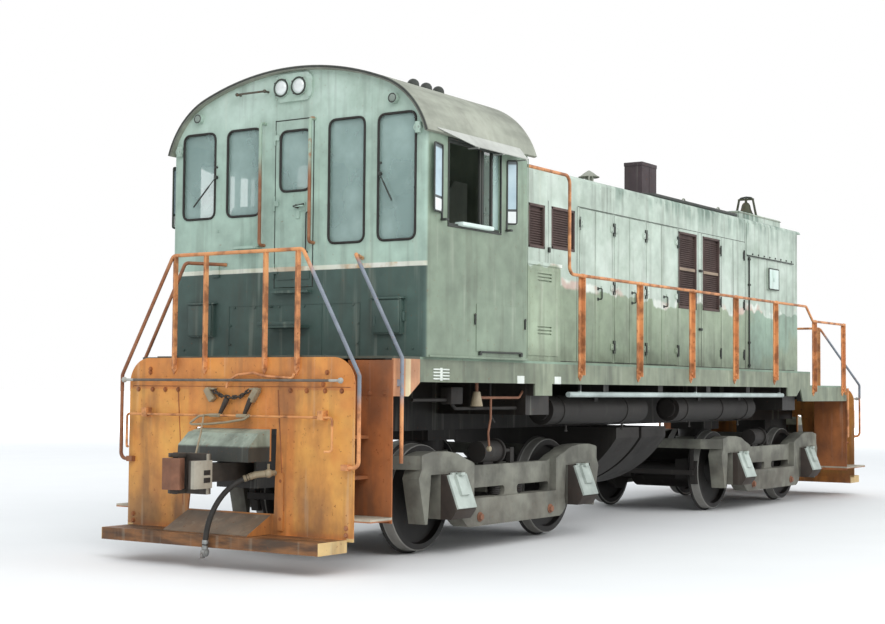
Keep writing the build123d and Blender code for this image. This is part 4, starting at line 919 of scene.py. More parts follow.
class LOCO_OT_windows(bpy.types.Operator):
    """Fit the rubbers, sashes, arm rests, deflector frames and wipers of the cab"""

    bl_idname = "loco.windows"
    bl_label = "Cab windows"

    def execute(self, context):
        radius = sizes().gasket
        rings = [pane_ring(CAB_END - 0.002, w, radius) for w in END_WINDOWS]
        rings += [pane_ring(CAB_FRONT + 0.002, w, radius, 0.05) for w in FRONT_WINDOWS]
        piece("window_rubbers", "frame", "gasket", rings)
        door = (-0.209, 0.165, RAIL + 3.376, RAIL + 3.962)
        door_ring = pane_ring(CAB_END - 0.001, door, radius)
        piece("door_window_rubber", "end_door", "gasket", [door_ring])

        def sash(side):
            y = side * CAB_SIDE
            x0, x1, z0, z1 = -5.270, -4.375, RAIL + 3.020, RAIL + 3.800
            bars = [(x0 - 0.014, x1 + 0.014, z1 - 0.004, z1 + 0.014, -0.012, 0.010, 0.004),
                    (x0 - 0.014, x1 + 0.014, z0 - 0.016, z0, -0.012, 0.010, 0.004),
                    (x0 - 0.014, x0, z0, z1, -0.012, 0.010, 0.004),
                    (x1, x1 + 0.014, z0, z1, -0.012, 0.010, 0.004)]
            bars += [(x - 0.013, x + 0.013, z0, z1, -0.040, -0.014, 0.003)
                     for x in (x1 - 0.125, x1 - 0.29, x1 - 0.33)]
            bars += [(x0, x1, z0, z0 + 0.02, -0.044, -0.008, 0.003),
                     (x0, x1, z1 - 0.03, z1, -0.044, -0.008, 0.003)]
            return [slab((a, y + side * inner, c), (b, y + side * outer, d), edge)
                    for a, b, c, d, inner, outer, edge in bars]
        piece("side_window_sashes", "frame", "dark", mirrored(sash))

        def arm_rest(side):
            y = side * CAB_SIDE
            return [slab((-5.10, y - side * 0.05, RAIL + 3.022),
                         (-4.56, y + side * 0.055, RAIL + 3.062), 0.014)]
        piece("side_arm_rests", "frame", "lid", mirrored(arm_rest))

        def deflector(side):
            bars = []
            for x, lean, out in ((-5.380, -0.190, 0.050), (-4.262, 0.060, 0.080)):
                inner = (x + 0.004, side * 1.528)
                outer = (x + 0.004 + lean, side * (CAB_SIDE + out - 0.003))
                z0, z1 = RAIL + 3.120, RAIL + 3.726
                loop = [(*inner, z0), (*outer, z0), (*outer, z1), (*inner, z1)]
                bars.append(tube(loop, 0.009, bend=0.02, closed=True))
                bars.append(drum((x, side * 1.524, z0 + 0.03), (x, side * 1.524, z0 - 0.06), 0.012, edge=0.002))
                bars.append(slab((x - 0.02, side * 1.523, z0 - 0.075),
                                 (x + 0.02, side * 1.585, z0 - 0.055), 0.003))
            return bars
        piece("wind_deflector_frames", "frame", "dark", mirrored(deflector))

        wipers = []
        for (y, z), tip in (((0.953, 3.603), (1.228, 3.327)), ((-1.013, 3.500), (-1.154, 3.249))):
            x = CAB_END - 0.022
            start, end = Vector((x, y, z)), Vector((x - 0.006, *tip))
            wipers.append(drum((CAB_END, y, z), (x - 0.010, y, z), 0.017, edge=0.002))
            wipers.append(tube([start, start.lerp(end, 0.45), start.lerp(end, 0.7)], 0.005))
            wipers.append(tube([start.lerp(end, 0.30), end], 0.008))
            wipers.append(drum((CAB_END, y, z + 0.10), (CAB_END - 0.014, y, z + 0.10), 0.012, edge=0.002))
        piece("window_wipers", "frame", "dark", wipers)
        return {"FINISHED"}


class LOCO_OT_lamps(bpy.types.Operator):
    """Fit the headlights' rims and lenses, the markers, their cases and the lamp plate's bolts"""

    bl_idname = "loco.lamps"
    bl_label = "Lamps"

    def execute(self, context):
        rims, glasses, cases, dull = [], [], [], []
        for x, way, level, ys in ((CAB_END, -1, LAMP_LEVEL, (-0.084, 0.126)),
                                  (HOOD_NOSE + 0.012, 1, HOOD_LAMP_LEVEL, (-0.110, 0.110))):
            for y in ys:
                face = x + way * 0.047
                rims.append(hoop((face, y, level), 0.080, 0.0095, 28))
                glasses.append(ball((face - way * 0.012, y, level), 0.076, (0.34, 1, 1), 28, 14))
                for angle in (0.6, 2.2, 3.8, 5.4):
                    clip_y, clip_z = y + 0.086 * math.cos(angle), level + 0.086 * math.sin(angle)
                    rims.append(slab((face, clip_y - 0.007, clip_z - 0.007),
                                     (face + way * 0.010, clip_y + 0.007, clip_z + 0.007), 0.002))
        for y, z in ((1.177, RAIL + 4.165), (-1.163, RAIL + 4.145)):
            dull.append(ball((CAB_END - 0.046, y, z), 0.036, (0.4, 1, 1), 20, 10))
            rims.append(hoop((CAB_END - 0.046, y, z), 0.040, 0.007, 20))
        for side in (-1, 1):
            y, z = side * 1.430, RAIL + 3.860
            dull.append(ball((CAB_END - 0.038, y, z), 0.026, (0.4, 1, 1), 16, 8))
            cases.append(drum((CAB_END - 0.02, y, z - 0.05), (CAB_END - 0.02, y, z + 0.05), 0.030, edge=0.004))
        plate_bolts = [(CAB_END - 0.022, y, LAMP_LEVEL + z) for y in (-0.19, 0.19) for z in (-0.10, 0.10)]
        cases += copies(bolt(0.009), plate_bolts)
        piece("lamp_rims", "frame", "dark", rims)
        piece("lamp_lenses", "frame", "lens", glasses)
        piece("lamp_cases", "frame", "cab", cases)
        piece("marker_lenses", "frame", "marker", dull)
        return {"FINISHED"}


class LOCO_OT_cab_trim(bpy.types.Operator):
    """Add the cab's seams, lids, ledges, sill marks, grab bars and door fittings"""

    bl_idname = "loco.cab_trim"
    bl_label = "Cab trim"

    def execute(self, context):
        x = CAB_END
        trim = []
        for y0, y1 in ((0.949, 1.267), (-1.275, -0.954)):
            z0, z1 = RAIL + 2.025, RAIL + 2.340
            trim.append(slab((x - 0.052, y0 + 0.012, z0 + 0.012), (x - 0.040, y1 - 0.012, z1 - 0.012), 0.004))
            trim.append(drum((x - 0.046, y0 + 0.02, z1 + 0.006), (x - 0.046, y1 - 0.02, z1 + 0.006), 0.011))
            trim.append(slab((x - 0.050, y0 - 0.03, z1 + 0.002), (x, y1 + 0.03, z1 + 0.014), 0.002))
        trim.append(slab((x - 0.030, -1.300, RAIL + 2.140), (x - 0.002, -1.276, RAIL + 2.225), 0.004))
        trim.append(drum((x - 0.052, -0.99, RAIL + 2.190), (x - 0.052, -0.99, RAIL + 2.100), 0.010))
        top = RAIL + 2.318
        for y0, y1, z0 in ((-0.795, 0.772, RAIL + 2.314), (0.768, 0.772, DECK), (-0.795, -0.791, DECK),
                           (0.300, 0.304, DECK), (-0.360, -0.356, DECK)):
            trim.append(slab((x - 0.004, y0, z0), (x + 0.002, y1, top), 0.0))
        heads = [(x, y, RAIL + 2.30) for y in (0.70, 0.45, 0.15, -0.15, -0.45, -0.72)]
        heads += [(x, y, z) for y in (0.752, -0.775) for z in (RAIL + 1.95, RAIL + 2.13)]
        heads += [(x, y, RAIL + 1.90) for y in (1.35, 1.10, -1.10, -1.38)]
        heads += [(x, 1.08, RAIL + 2.86), (x, 1.30, RAIL + 2.86), (x, 0.93, RAIL + 3.05)]
        trim += copies(bolt(0.010), heads)
        trim.append(slab((x - 0.196, -0.215, RAIL + 2.118), (x - 0.184, 0.255, RAIL + 2.148), 0.002))
        trim.append(tube([(x - 0.18, 0.235, RAIL + 2.12), (x - 0.06, 0.235, RAIL + 2.30),
                          (x, 0.235, RAIL + 2.30)], 0.008))
        trim.append(slab((x - 0.018, 0.90, RAIL + 2.600), (x, 0.985, RAIL + 2.730), 0.004))
        piece("cab_end_trim", "frame", "cab", trim)

        seams = [slab((x - 0.003, y0, RAIL + z0), (x + 0.001, y1, RAIL + z1), 0.0) for y0, y1, z0, z1 in (
            (-0.246, -0.238, 2.475, 4.066), (0.214, 0.221, 2.475, 4.066), (-0.246, 0.221, 4.056, 4.064))]
        piece("cab_door_seams", "frame", "gasket", seams)

        handle = [tube([(x - 0.034, -0.030, RAIL + 3.234), (x - 0.034, -0.075, RAIL + 3.236),
                        (x - 0.030, -0.150, RAIL + 3.250)], 0.010),
                  drum((x, -0.060, RAIL + 3.234), (x - 0.040, -0.060, RAIL + 3.234), 0.018, edge=0.003),
                  tube([(x, -0.176, 3.205), (x - 0.026, -0.176, 3.190), (x - 0.026, -0.176, 2.840),
                        (x, -0.176, 2.825)], 0.007, bend=0.015)]
        piece("cab_door_handle", "end_door", "dark", handle)
        door = [slab((x - 0.010, -0.085, RAIL + 3.12), (x, -0.040, RAIL + 3.20), 0.004),
                slab((x - 0.008, -0.205, RAIL + 2.55), (x, 0.185, RAIL + 2.70), 0.004)]
        piece("cab_door_fittings", "end_door", "cab", door)

        def side_trim(side):
            y = side * CAB_SIDE
            rod_y, rod_z = y + side * 0.020, RAIL + 1.875
            parts = []
            for hx, hz in ((-4.818, 2.207), (-3.912, 2.193)):
                parts.append(drum((hx, y + side * 0.010, hz + 0.045), (hx, y + side * 0.010, hz - 0.045),
                                  0.009, edge=0.002))
                parts.append(ball((hx, y + side * 0.012, hz + 0.045), 0.015, (1, 0.6, 1), 12, 8))
            parts.append(tube([(-4.75, rod_y, rod_z + 0.010), (-3.99, rod_y, rod_z + 0.014)], 0.009))
            for hx in (-4.734, -3.996):
                parts.append(slab((hx - 0.018, y, 1.880), (hx + 0.018, y + side * 0.026, 1.912), 0.005))
            return parts
        piece("cab_side_hatches", "frame", "dark", mirrored(side_trim))

        def drip(side):
            y = side * CAB_SIDE
            return [slab((CAB_END + 0.045, y, RAIL + 1.822),
                         (CAB_FRONT, y + side * 0.010, RAIL + 1.842), 0.002),
                    slab((CAB_FRONT - 0.012, y - side * 0.002, RAIL + 1.85),
                         (CAB_FRONT - 0.004, y + side * 0.004, RAIL + 3.80), 0.001)]
        piece("cab_side_ledges", "frame", "cab", mirrored(drip))

        def sill_marks_and_louvre_highlights(side):
            y = side * 1.480
            marks = [slab((x - 0.066, y, 1.625), (x + 0.066, y + side * 0.004, 1.700), 0.001)
                     for x in (-3.908, -3.176)]
            # painted highlight: the louvred blank's eight bars are white for the light on their tops; the two
            # squares are white marks
            marks += [slab((x, y, z), (x + 0.105, y + side * 0.010, z + 0.014), 0.002)
                      for x in (-5.435, -5.285) for z in (1.650, 1.678, 1.706, 1.734)]
            marks.append(slab((-5.327, y, 1.640), (-5.288, y + side * 0.008, 1.756), 0.002))
            return marks
        piece("sill_marks_and_louvre_highlights", "frame", "white", mirrored(sill_marks_and_louvre_highlights))

        beads = [tube(roof_line(at, -0.012), 0.010) for at in (CAB_END - 0.052, CAB_FRONT + 0.095)]
        piece("roof_edge_beads", "frame", "dark", beads)
        bars = [tube([(x, y, RAIL + 4.045), (x - 0.075, y, RAIL + 4.045), (x - 0.075, y, RAIL + 2.885),
                      (x, y, RAIL + 2.885)], 0.0165, bend=0.045, sides=12) for y in (0.345, -0.252)]
        bars += [ball((x - 0.060, y, RAIL + 4.350), 0.018, segments=12, rings=8) for y in (0.315, 0.660)]
        piece("grab_bars", "frame", "rail", bars)
        return {"FINISHED"}


def roof_line(x, lift):
    """Points along the cab roof's outer line, of three arcs, at one place on its length."""
    eave, shoulder, apex = Vector((1.558, 3.830)), Vector((1.075, 4.350)), 4.552
    rise = apex - shoulder.y
    top_r = (shoulder.x ** 2 + rise ** 2) / (2 * rise)
    inward = Vector((-shoulder.x, apex - top_r - shoulder.y)).normalized()
    chord = eave - shoulder
    side_r = chord.length_squared / (2 * chord.dot(inward))
    centre = shoulder + inward * side_r
    first = math.atan2(eave.y - centre.y, eave.x - centre.x)
    last = math.atan2(-inward.y, -inward.x)
    half = []
    for i in range(8):
        angle = first + (last - first) * i / 8
        half.append((centre.x + (side_r + lift) * math.cos(angle),
                     centre.y + (side_r + lift) * math.sin(angle)))
    sweep = math.asin(shoulder.x / top_r)
    for i in range(10):
        angle = sweep * (1 - i / 10)
        half.append(((top_r + lift) * math.sin(angle), apex - top_r + (top_r + lift) * math.cos(angle)))
    points = [(x, y, RAIL + z) for y, z in half] + [(x, 0.0, RAIL + apex + lift)]
    return [Vector(p) for p in points + [(x, -y, RAIL + z) for y, z in reversed(half)]]


class LOCO_OT_hood_trim(bpy.types.Operator):
    """Add the hood's hinges, pulls, leaf skins, seams, vents, rivets, box and roof edge pipe"""

    bl_idname = "loco.hood_trim"
    bl_label = "Hood trim"

    def execute(self, context):
        for side, word in ((-1, "right"), (1, "left")):
            face = side * HOOD_SIDE

            def plate(x0, x1, z0, z1, out, edge=0.002, back=0.0):
                """A block on the hood's side that stands out and reaches back so far."""
                return slab((x0, face - side * back, z0), (x1, face + side * out, z1), edge)

            fixed = []
            for pair in range(3):
                low, middle, high = LEAF_EDGES[2 * pair:2 * pair + 3]
                for hinge, free, leaf in ((low + 0.015, middle - 0.004, "a"),
                                          (high - 0.015, middle + 0.004, "b")):
                    way = 1 if free > hinge else -1
                    body = f"door_{word}_{pair + 1}{leaf}"
                    axis_y = face + side * 0.010
                    irons, skin = [], []
                    for z in HINGE_LEVELS:
                        irons.append(drum((hinge, axis_y, z - 0.044), (hinge, axis_y, z + 0.044), 0.0095, 12))
                        skin.append(plate(hinge + way * 0.006, hinge + way * 0.072, z - 0.034, z + 0.034,
                                          0.0145, 0.003))
                        heads = [(hinge + way * 0.042, face + side * 0.0145, z + dz) for dz in (-0.020, 0.020)]
                        skin += copies(rivet(0.006, (0, side, 0)), heads)
                        for lo, hi in ((z - 0.075, z - 0.0455), (z + 0.0455, z + 0.075)):
                            fixed.append(drum((hinge, axis_y, lo), (hinge, axis_y, hi), 0.0095, 12))
                    if leaf == "b":
                        x = free + 0.062
                        z = RAIL + 2.635
                        grip = face + side * 0.056
                        irons.append(tube([(x, face, z - 0.060), (x, grip, z - 0.060), (x, grip, z + 0.060),
                                           (x, face, z + 0.060)], 0.0075, bend=0.018))
                        irons += [plate(x - 0.02, x + 0.02, z + dz - 0.018, z + dz + 0.018, 0.006)
                                  for dz in (-0.060, 0.060)]
                    piece(f"leaf_irons_{word}_{pair + 1}{leaf}", body, "dark", irons)
                    skin.append(plate(min(hinge, free) + 0.010, max(hinge, free) - 0.010,
                                      LEAF_LOW + 0.014, LEAF_HIGH - 0.014, 0.003))
                    piece(f"leaf_skin_{word}_{pair + 1}{leaf}", body, "hood", skin)
            piece(f"hinge_irons_{word}", "frame", "dark", fixed)

            lines = [(x - 0.003, x + 0.003, RAIL + 1.86, RAIL + 3.58 if x < 3.1 else RAIL + 3.40)
                     for x in (-2.900, -2.390, -1.740, 0.900, 1.500, 1.605, 2.240, 2.640, 3.060, 3.178)]
            lines += [(-1.73, 3.06, RAIL + 3.583, RAIL + 3.589), (-2.95, 4.90, RAIL + 1.850, RAIL + 1.856),
                      (3.050, 3.056, RAIL + 3.58, RAIL + 3.90)]
            seams = [plate(*line, 0.002, 0.0, back=0.002) for line in lines]
            piece(f"hood_seams_{word}", "frame", "gasket", seams)

            irons = []
            pin_y = face + side * 0.008
            for x in (0.905, 2.225, 3.010):
                for z in HINGE_LEVELS:
                    irons.append(drum((x, pin_y, z - 0.07), (x, pin_y, z + 0.07), 0.010, 12))
                    irons.append(plate(x - 0.03, x + 0.03, z - 0.045, z + 0.045, 0.006))
            for z in (RAIL + 3.101, RAIL + 2.347):
                irons.append(plate(1.520, 1.620, z - 0.028, z + 0.004, 0.018, 0.004))
                irons.append(drum((1.553, face, z - 0.012), (1.553, face + side * 0.030, z - 0.012),
                                  0.014, edge=0.002))
            irons.append(plate(-2.400, -2.360, RAIL + 3.020, RAIL + 3.075, 0.020, 0.004))
            drain = face + side * 0.016
            irons.append(tube([(3.174, drain, RAIL + 3.393), (3.174, drain, RAIL + 1.87)], 0.010))
            for z in (RAIL + 3.008, RAIL + 2.212, RAIL + 3.36, RAIL + 1.90):
                irons.append(plate(3.150, 3.198, z - 0.014, z + 0.014, 0.030, 0.003))
            irons.append(slab((3.10, face + side * 0.010, RAIL + 3.404),
                              (4.84, face + side * 0.024, RAIL + 3.418), 0.002))
            drops = [(3.30 + i * 0.21, face + side * 0.010, RAIL + 3.44) for i in range(8)]
            irons += copies(bolt(0.011, (0, side, 0)), drops)
            piece(f"hood_irons_{word}", "frame", "dark", irons)

            # painted shade: dark plates behind the louvres stand for the shade in their gaps
            vents = [plate(-2.612, -2.322, low, low + 0.150, 0.004) for low in (2.652, 2.094)]
            piece(f"hood_vent_shade_backs_{word}", "frame", "dark", vents)
            # painted highlight: the louvre slats are white for the light on their tops
            slats = [plate(-2.604, -2.330, low + 0.012 + i * 0.037, low + 0.028 + i * 0.037, 0.012, 0.003)
                     for low in (2.652, 2.094) for i in range(4)]
            piece(f"hood_vent_highlight_slats_{word}", "frame", "white", slats)

            heads = [(-2.9 + i * 0.245, face, RAIL + 3.845) for i in range(33)]
            heads += [(x, face, RAIL + 1.95 + i * 0.24)
                      for x, count in ((3.085, 7), (4.93, 8)) for i in range(count)]
            rivets = copies(rivet(0.008, (0, side, 0)), heads)
            piece(f"hood_rivets_{word}", "frame", "hood", rivets)

            lid = [plate(3.850, 4.205, RAIL + 2.995, RAIL + 3.275, 0.040, 0.006, back=-0.030),
                   plate(4.00, 4.03, RAIL + 3.10, RAIL + 3.16, 0.050, 0.003, back=-0.040)]
            piece(f"hood_box_lid_{word}", "frame", "lid", lid)
            loop = [(x, face + side * 0.034, RAIL + z)
                    for x, z in ((3.846, 2.990), (4.209, 2.990), (4.209, 3.280), (3.846, 3.280))]
            rim = tube(loop, 0.010, bend=0.01, closed=True)
            piece(f"hood_box_rim_{word}", "frame", "dark", [rim])

        pipe_y = -0.868
        edge = [tube([(0.30, -0.70, RAIL + 3.955), (0.32, pipe_y, RAIL + 3.942), (2.86, pipe_y, RAIL + 3.942),
                      (2.95, -0.78, RAIL + 3.955)], 0.023, bend=0.05, sides=12)]
        piece("roof_edge_pipe", "frame", "dark", edge)
        return {"FINISHED"}


class LOCO_OT_grilles(bpy.types.Operator):
    """Fill the hood openings with fine slats in bolted frames"""

    bl_idname = "loco.grilles"
    bl_label = "Hood grilles"

    def execute(self, context):
        pitch = sizes().slat
        slats, frames, bands = [], [], []
        for side in (-1, 1):
            face = side * HOOD_SIDE
            for x0, x1, z0, z1 in GRILLES:
                count = int((z1 - z0 - 0.06) / pitch)
                first = slab((x0 + 0.020, face - side * 0.020, z0 + 0.030),
                             (x1 - 0.020, face - side * 0.016, z0 + 0.046), 0)
                hold([first])
                for vertex in first.data.vertices:
                    if vertex.co.z > z0 + 0.038:
                        vertex.co.y -= side * 0.014
                row = first.modifiers.new("row", "ARRAY")
                row.use_relative_offset, row.use_constant_offset = False, True
                row.constant_offset_displace, row.count = (0, 0, pitch), count
                bpy.ops.object.modifier_apply(modifier="row")
                slats.append(first)
                for a, b, c, d in ((x0, x1, z0, z0 + 0.028), (x0, x1, z1 - 0.028, z1), (x0, x0 + 0.026, z0, z1),
                                   (x1 - 0.026, x1, z0, z1)):
                    frames.append(slab((a, face - side * 0.038, c), (b, face + side * 0.005, d), 0.003))
                heads = [(x, face + side * 0.005, z0 + 0.05 + i * (z1 - z0 - 0.1) / 4)
                         for x in (x0 + 0.013, x1 - 0.013) for i in range(5)]
                frames += copies(rivet(0.006, (0, side, 0)), heads)
                if x0 > 0:
                    bands.append(slab((x0 + 0.026, face - side * 0.014, RAIL + 3.062),
                                      (x1 - 0.026, face - side * 0.006, RAIL + 3.100), 0.002))
                slats.append(slab((x0, face - side * 0.040, z0), (x1, face - side * 0.038, z1), 0))
        piece("grille_slats", "frame", "grille", slats, ["hood_grilles"])
        piece("grille_frames", "frame", "grille", frames)
        piece("grille_bands", "frame", "band", bands)
        return {"FINISHED"}


class LOCO_OT_roof(bpy.types.Operator):
    """Add the lifting eyes, vent, domes, stack bands, bell yoke and hatch slats"""

    bl_idname = "loco.roof"
    bl_label = "Roof fittings"

    def execute(self, context):
        z = RAIL + 3.974
        parts = []
        base = RAIL + 3.938
        for x in (-1.020, 1.530, 2.640):
            for y in (-0.70, 0.70):
                parts.append(hoop((x, y, base + 0.046), 0.050, 0.0095, 24, "y"))
                parts.append(slab((x - 0.030, y - 0.012, base - 0.006),
                                  (x + 0.030, y + 0.012, base + 0.012), 0.003))
        parts += [drum((0.240, 0, z), (0.240, 0, z + 0.030), 0.085, 24, edge=0.004),
                  drum((0.240, 0, z), (0.240, 0, z + 0.235), 0.048, 24),
                  drum((0.240, 0, z + 0.235), (0.240, 0, z + 0.290), 0.130, 28, tip=0.060),
                  drum((0.240, 0, z + 0.290), (0.240, 0, z + 0.322), 0.060, 28, tip=0.010),
                  hoop((0.240, 0, z + 0.238), 0.128, 0.006, 24, "z")]
        piece("roof_eyes_and_vent", "frame", "roof", parts)
        domes = []
        for x in (-4.300, -4.070, -3.850):
            top = RAIL + 4.567
            domes.append(drum((x, -0.450, RAIL + 4.47), (x, -0.450, top - 0.02), 0.030, 18))
            domes.append(ball((x, -0.450, top), 0.0615, (1, 1, 0.96), 22, 14))
            domes.append(hoop((x, -0.450, top - 0.012), 0.058, 0.006, 22, "z"))
        piece("roof_domes", "frame", "dark", domes, ["roof_fittings"])
        x, hx, hy, top = 1.690, 0.215, 0.130, RAIL + 4.560
        out_x, out_y = hx + 0.006, hy + 0.006
        flue = [slab((x + x0, y0, top - 0.05), (x + x1, y1, top), 0.003) for x0, y0, x1, y1 in (
            (-out_x, -out_y, out_x, -hy), (-out_x, hy, out_x, out_y),
            (-out_x, -hy, -hx, hy), (hx, -hy, out_x, hy))]
        flue.append(slab((x - 0.003, -hy - 0.004, z + 0.03), (x + 0.003, -hy, top - 0.05), 0.001))
        heads = [(x + dx, dy, z + 0.026) for dx in (-0.25, -0.12, 0.0, 0.12, 0.25) for dy in (-0.168, 0.168)]
        flue += copies(bolt(0.010, (0, 0, 1)), heads)
        piece("stack_bands", "frame", "stack", flue)
        bx, by, bz = 4.460, -0.350, RAIL + 4.085
        yoke = [tube([(bx, by - 0.110, bz + 0.262), (bx, by - 0.085, bz + 0.296), (bx, by, bz + 0.308),
                      (bx, by + 0.085, bz + 0.296), (bx, by + 0.110, bz + 0.262)], 0.014, bend=0.04),
                drum((bx, by, bz + 0.286), (bx, by, bz + 0.318), 0.018, 14, edge=0.003),
                hoop((bx, by, bz + 0.047), 0.118, 0.006, 28, "z"),
                ball((bx, by, bz + 0.038), 0.024, (1, 1, 1), 14, 10)]
        yoke += copies(bolt(0.012, (0, 0, 1)), [(bx + dx, by + dy, bz + 0.010) for dx in (-0.028, 0.028)
                                                for dy in (-0.183, 0.183)])
        piece("bell_yoke", "frame", "dark", yoke)
        hatch = [slab((3.49, y0, RAIL + 4.060), (5.07, y1, RAIL + 4.072), 0.003)
                 for y0, y1 in ((-0.650, -0.632), (0.632, 0.650))]
        hatch += [slab((x0, -0.650, RAIL + 4.060), (x1, 0.650, RAIL + 4.072), 0.003)
                  for x0, x1 in ((3.49, 3.508), (5.052, 5.07))]
        for i in range(17):
            x = 3.60 + i * 0.085
            hatch.append(slab((x, -0.560, RAIL + 4.085), (x + 0.020, 0.20 if i in (9, 10, 11) else 0.560,
                                                          RAIL + 4.093), 0.002))
        piece("hatch_slats", "frame", "roof", hatch)
        return {"FINISHED"}


class LOCO_OT_rail_posts(bpy.types.Operator):
    """Bolt the posts to the sill and clamp the rails to them"""

    bl_idname = "loco.rail_posts"
    bl_label = "Rail posts"

    def execute(self, context):
        size = sizes().bolt
        side_bolts, end_bolts = [], []
        for side in (-1, 1):
            heads = [(x, side * 1.490, RAIL + foot + dz) for x, foot, _ in POSTS for dz in (0.055, 0.115)]
            side_bolts += copies(bolt(size, (0, side, 0)), heads)
            for x, _, top in POSTS:
                y = side * 1.514
                side_bolts.append(drum((x - 0.028, y, RAIL + top), (x + 0.028, y, RAIL + top),
                                       0.022, 16, edge=0.003))
        for end, foot in ((-1, 1.657), (1, 1.500)):
            heads = [(end * 6.380, end * -y, RAIL + foot + dz) for y in (0.752, 0.378, -0.325, -0.690)
                     for dz in (0.060, 0.120)]
            end_bolts += copies(bolt(size * 0.9, (end, 0, 0)), heads)
        piece("side_post_bolts", "frame", "rail", side_bolts)
        piece("end_post_bolts", "frame", "rail", end_bolts)
        return {"FINISHED"}


class LOCO_OT_pilots(bpy.types.Operator):
    """Add the pilots' bolts, seams, chain, linkage, step backs and board joints"""

    bl_idname = "loco.pilots"
    bl_label = "Pilots and footboards"

    def execute(self, context):
        bolts, seams = [], []
        for end in (-1, 1):
            x = end * PILOT
            spots = [(y, RAIL + 1.516) for y in (1.20, 1.02, 0.86, 0.70, -0.62, -0.80, -1.00, -1.18)]
            spots += [(y, z) for y in (1.24, -1.24) for z in (RAIL + 0.30, RAIL + 0.36)]
            spots += [(-0.53, z) for z in (RAIL + 0.40, RAIL + 0.73)]
            if end < 0:
                spots += [(1.05, 1.70), (1.05, 1.73), (-1.02, 1.70), (-0.98, 1.60)]
            bolts += copies(bolt(0.017, (end, 0, 0)), [(x, end * -y, z) for y, z in spots])
            for y0, y1 in ((0.620, 0.700), (-0.560, -0.480)):
                a = Vector((x, end * -y0, RAIL + 0.47))
                b = Vector((x, end * -y1, RAIL + 1.52))
                seams.append(tube([a, b], 0.005))
            seams.append(slab((x, -1.27, RAIL + 1.545), (x + end * 0.004, 1.27, RAIL + 1.550), 0.001))
        piece("pilot_bolts", "frame", "steps", bolts)
        piece("pilot_seams", "frame", "steps", seams)

        x = -PILOT
        model = tube([(0, -0.0275, -0.012), (0, 0.0275, -0.012), (0, 0.0275, 0.012), (0, -0.0275, 0.012)],
                     0.0075, bend=0.012, closed=True)
        hang = [Vector((x - 0.035, y, z)) for y, z in (
            (0.240, 1.535), (0.150, 1.492), (0.030, 1.474), (-0.080, 1.487), (-0.180, 1.540))]
        places = []
        for i in range(11):
            along_it = 4 * (i + 0.5) / 11
            first = hang[int(along_it)]
            way = hang[int(along_it) + 1] - first
            lean = Matrix.Rotation(math.atan2(way.z, way.y), 4, "X")
            turn = Matrix.Rotation(math.radians(90 * (i % 2)), 4, "Y")
            places.append(Matrix.Translation(first + way * (along_it % 1)) @ lean @ turn)
        chain = copies(model, places)
        chain += [drum((x - 0.040, y0, z), (x - 0.045, y1, 1.330), 0.026, 12, edge=0.004, tip=0.018)
                  for y0, z, y1 in ((0.075, 1.465, 0.150), (-0.205, 1.470, -0.135))]
        piece("coupler_chain", "frame", "coupler", chain)
        lugs = []
        for y, lean in ((0.285, -0.6), (-0.235, 0.6)):
            plate = slab((-0.030, -0.030, -0.065), (0.030, 0.030, 0.065), 0.008)
            lugs += copies(plate, [Matrix.Translation((x - 0.030, y, 1.500)) @ Matrix.Rotation(lean, 4, "X")])
            lugs.append(slab((x - 0.044, y - 0.055, 1.545), (x, y + 0.055, 1.562), 0.004))
        piece("chain_lugs", "frame", "fitting", lugs)
        levers = [slab((x - 0.085, y - 0.060, 1.300), (x - 0.020, y + 0.060, 1.332), 0.008)
                  for y in (0.190, -0.125)]
        levers += [tube([(x - 0.080, y, z) for y, z in (
                       (0.150, 1.319), (0.267, 1.317), (0.368, 1.306), (0.506, 1.228), (0.250, 1.238),
                       (0.041, 1.256), (-0.166, 1.287), (-0.226, 1.322))], 0.0105, bend=0.03),
                   tube([(x - 0.080, 0.310, 1.318), (x - 0.380, 0.070, 1.167), (x - 0.570, -0.050, 0.996)],
                        0.0085, bend=0.03)]
        piece("lift_linkage", "frame", "fitting", levers)
        bent = [tube([(x - 0.040, y, z) for y, z in (
            (-0.690, 1.690), (-0.672, 1.648), (-0.354, 1.667), (-0.233, 1.695), (-0.038, 1.676), (0.072, 1.612),
            (0.083, 1.560))], 0.0125, bend=0.05)]
        piece("bent_pipe", "frame", "rail", bent)
        slot_shades, backs = [], []
        for end in (-1, 1):
            turn = Matrix.Rotation(0.0 if end < 0 else math.pi, 4, "Z")
            for z in (0.778, 0.842):
                # painted shade: a dark block fills each slot in the guard arm for the shade inside it
                slot_shade = slab((-0.050, -0.004, -0.021), (0.050, 0.004, 0.021), 0.003)
                slot_shades += copies(slot_shade, [turn @ Matrix.Translation((-6.995, -0.2325, z))
                                          @ Matrix.Rotation(0.185, 4, "Z")])
        piece("guard_arm_slot_shade", "frame", "gasket", slot_shades)
        for side in (-1, 1):
            backs.append(slab((-6.054, side * 1.00, 1.50), (-6.040, side * 1.478, 1.812), 0.002))
            backs += copies(bolt(0.016), [(-6.054, side * y, RAIL + 1.50) for y in (1.14, 1.24, 1.40)])
        piece("step_well_backs", "frame", "steps", backs)

        joints = []
        for end in (-1, 1):
            for reach in (0.130, 0.262):
                x0 = end * (PILOT + reach)
                joints.append(slab((x0, -1.240, RAIL + 0.2605), (x0 + end * 0.005, 1.240, RAIL + 0.2632), 0))
        piece("footboard_joints", "frame", "gasket", joints)
        return {"FINISHED"}


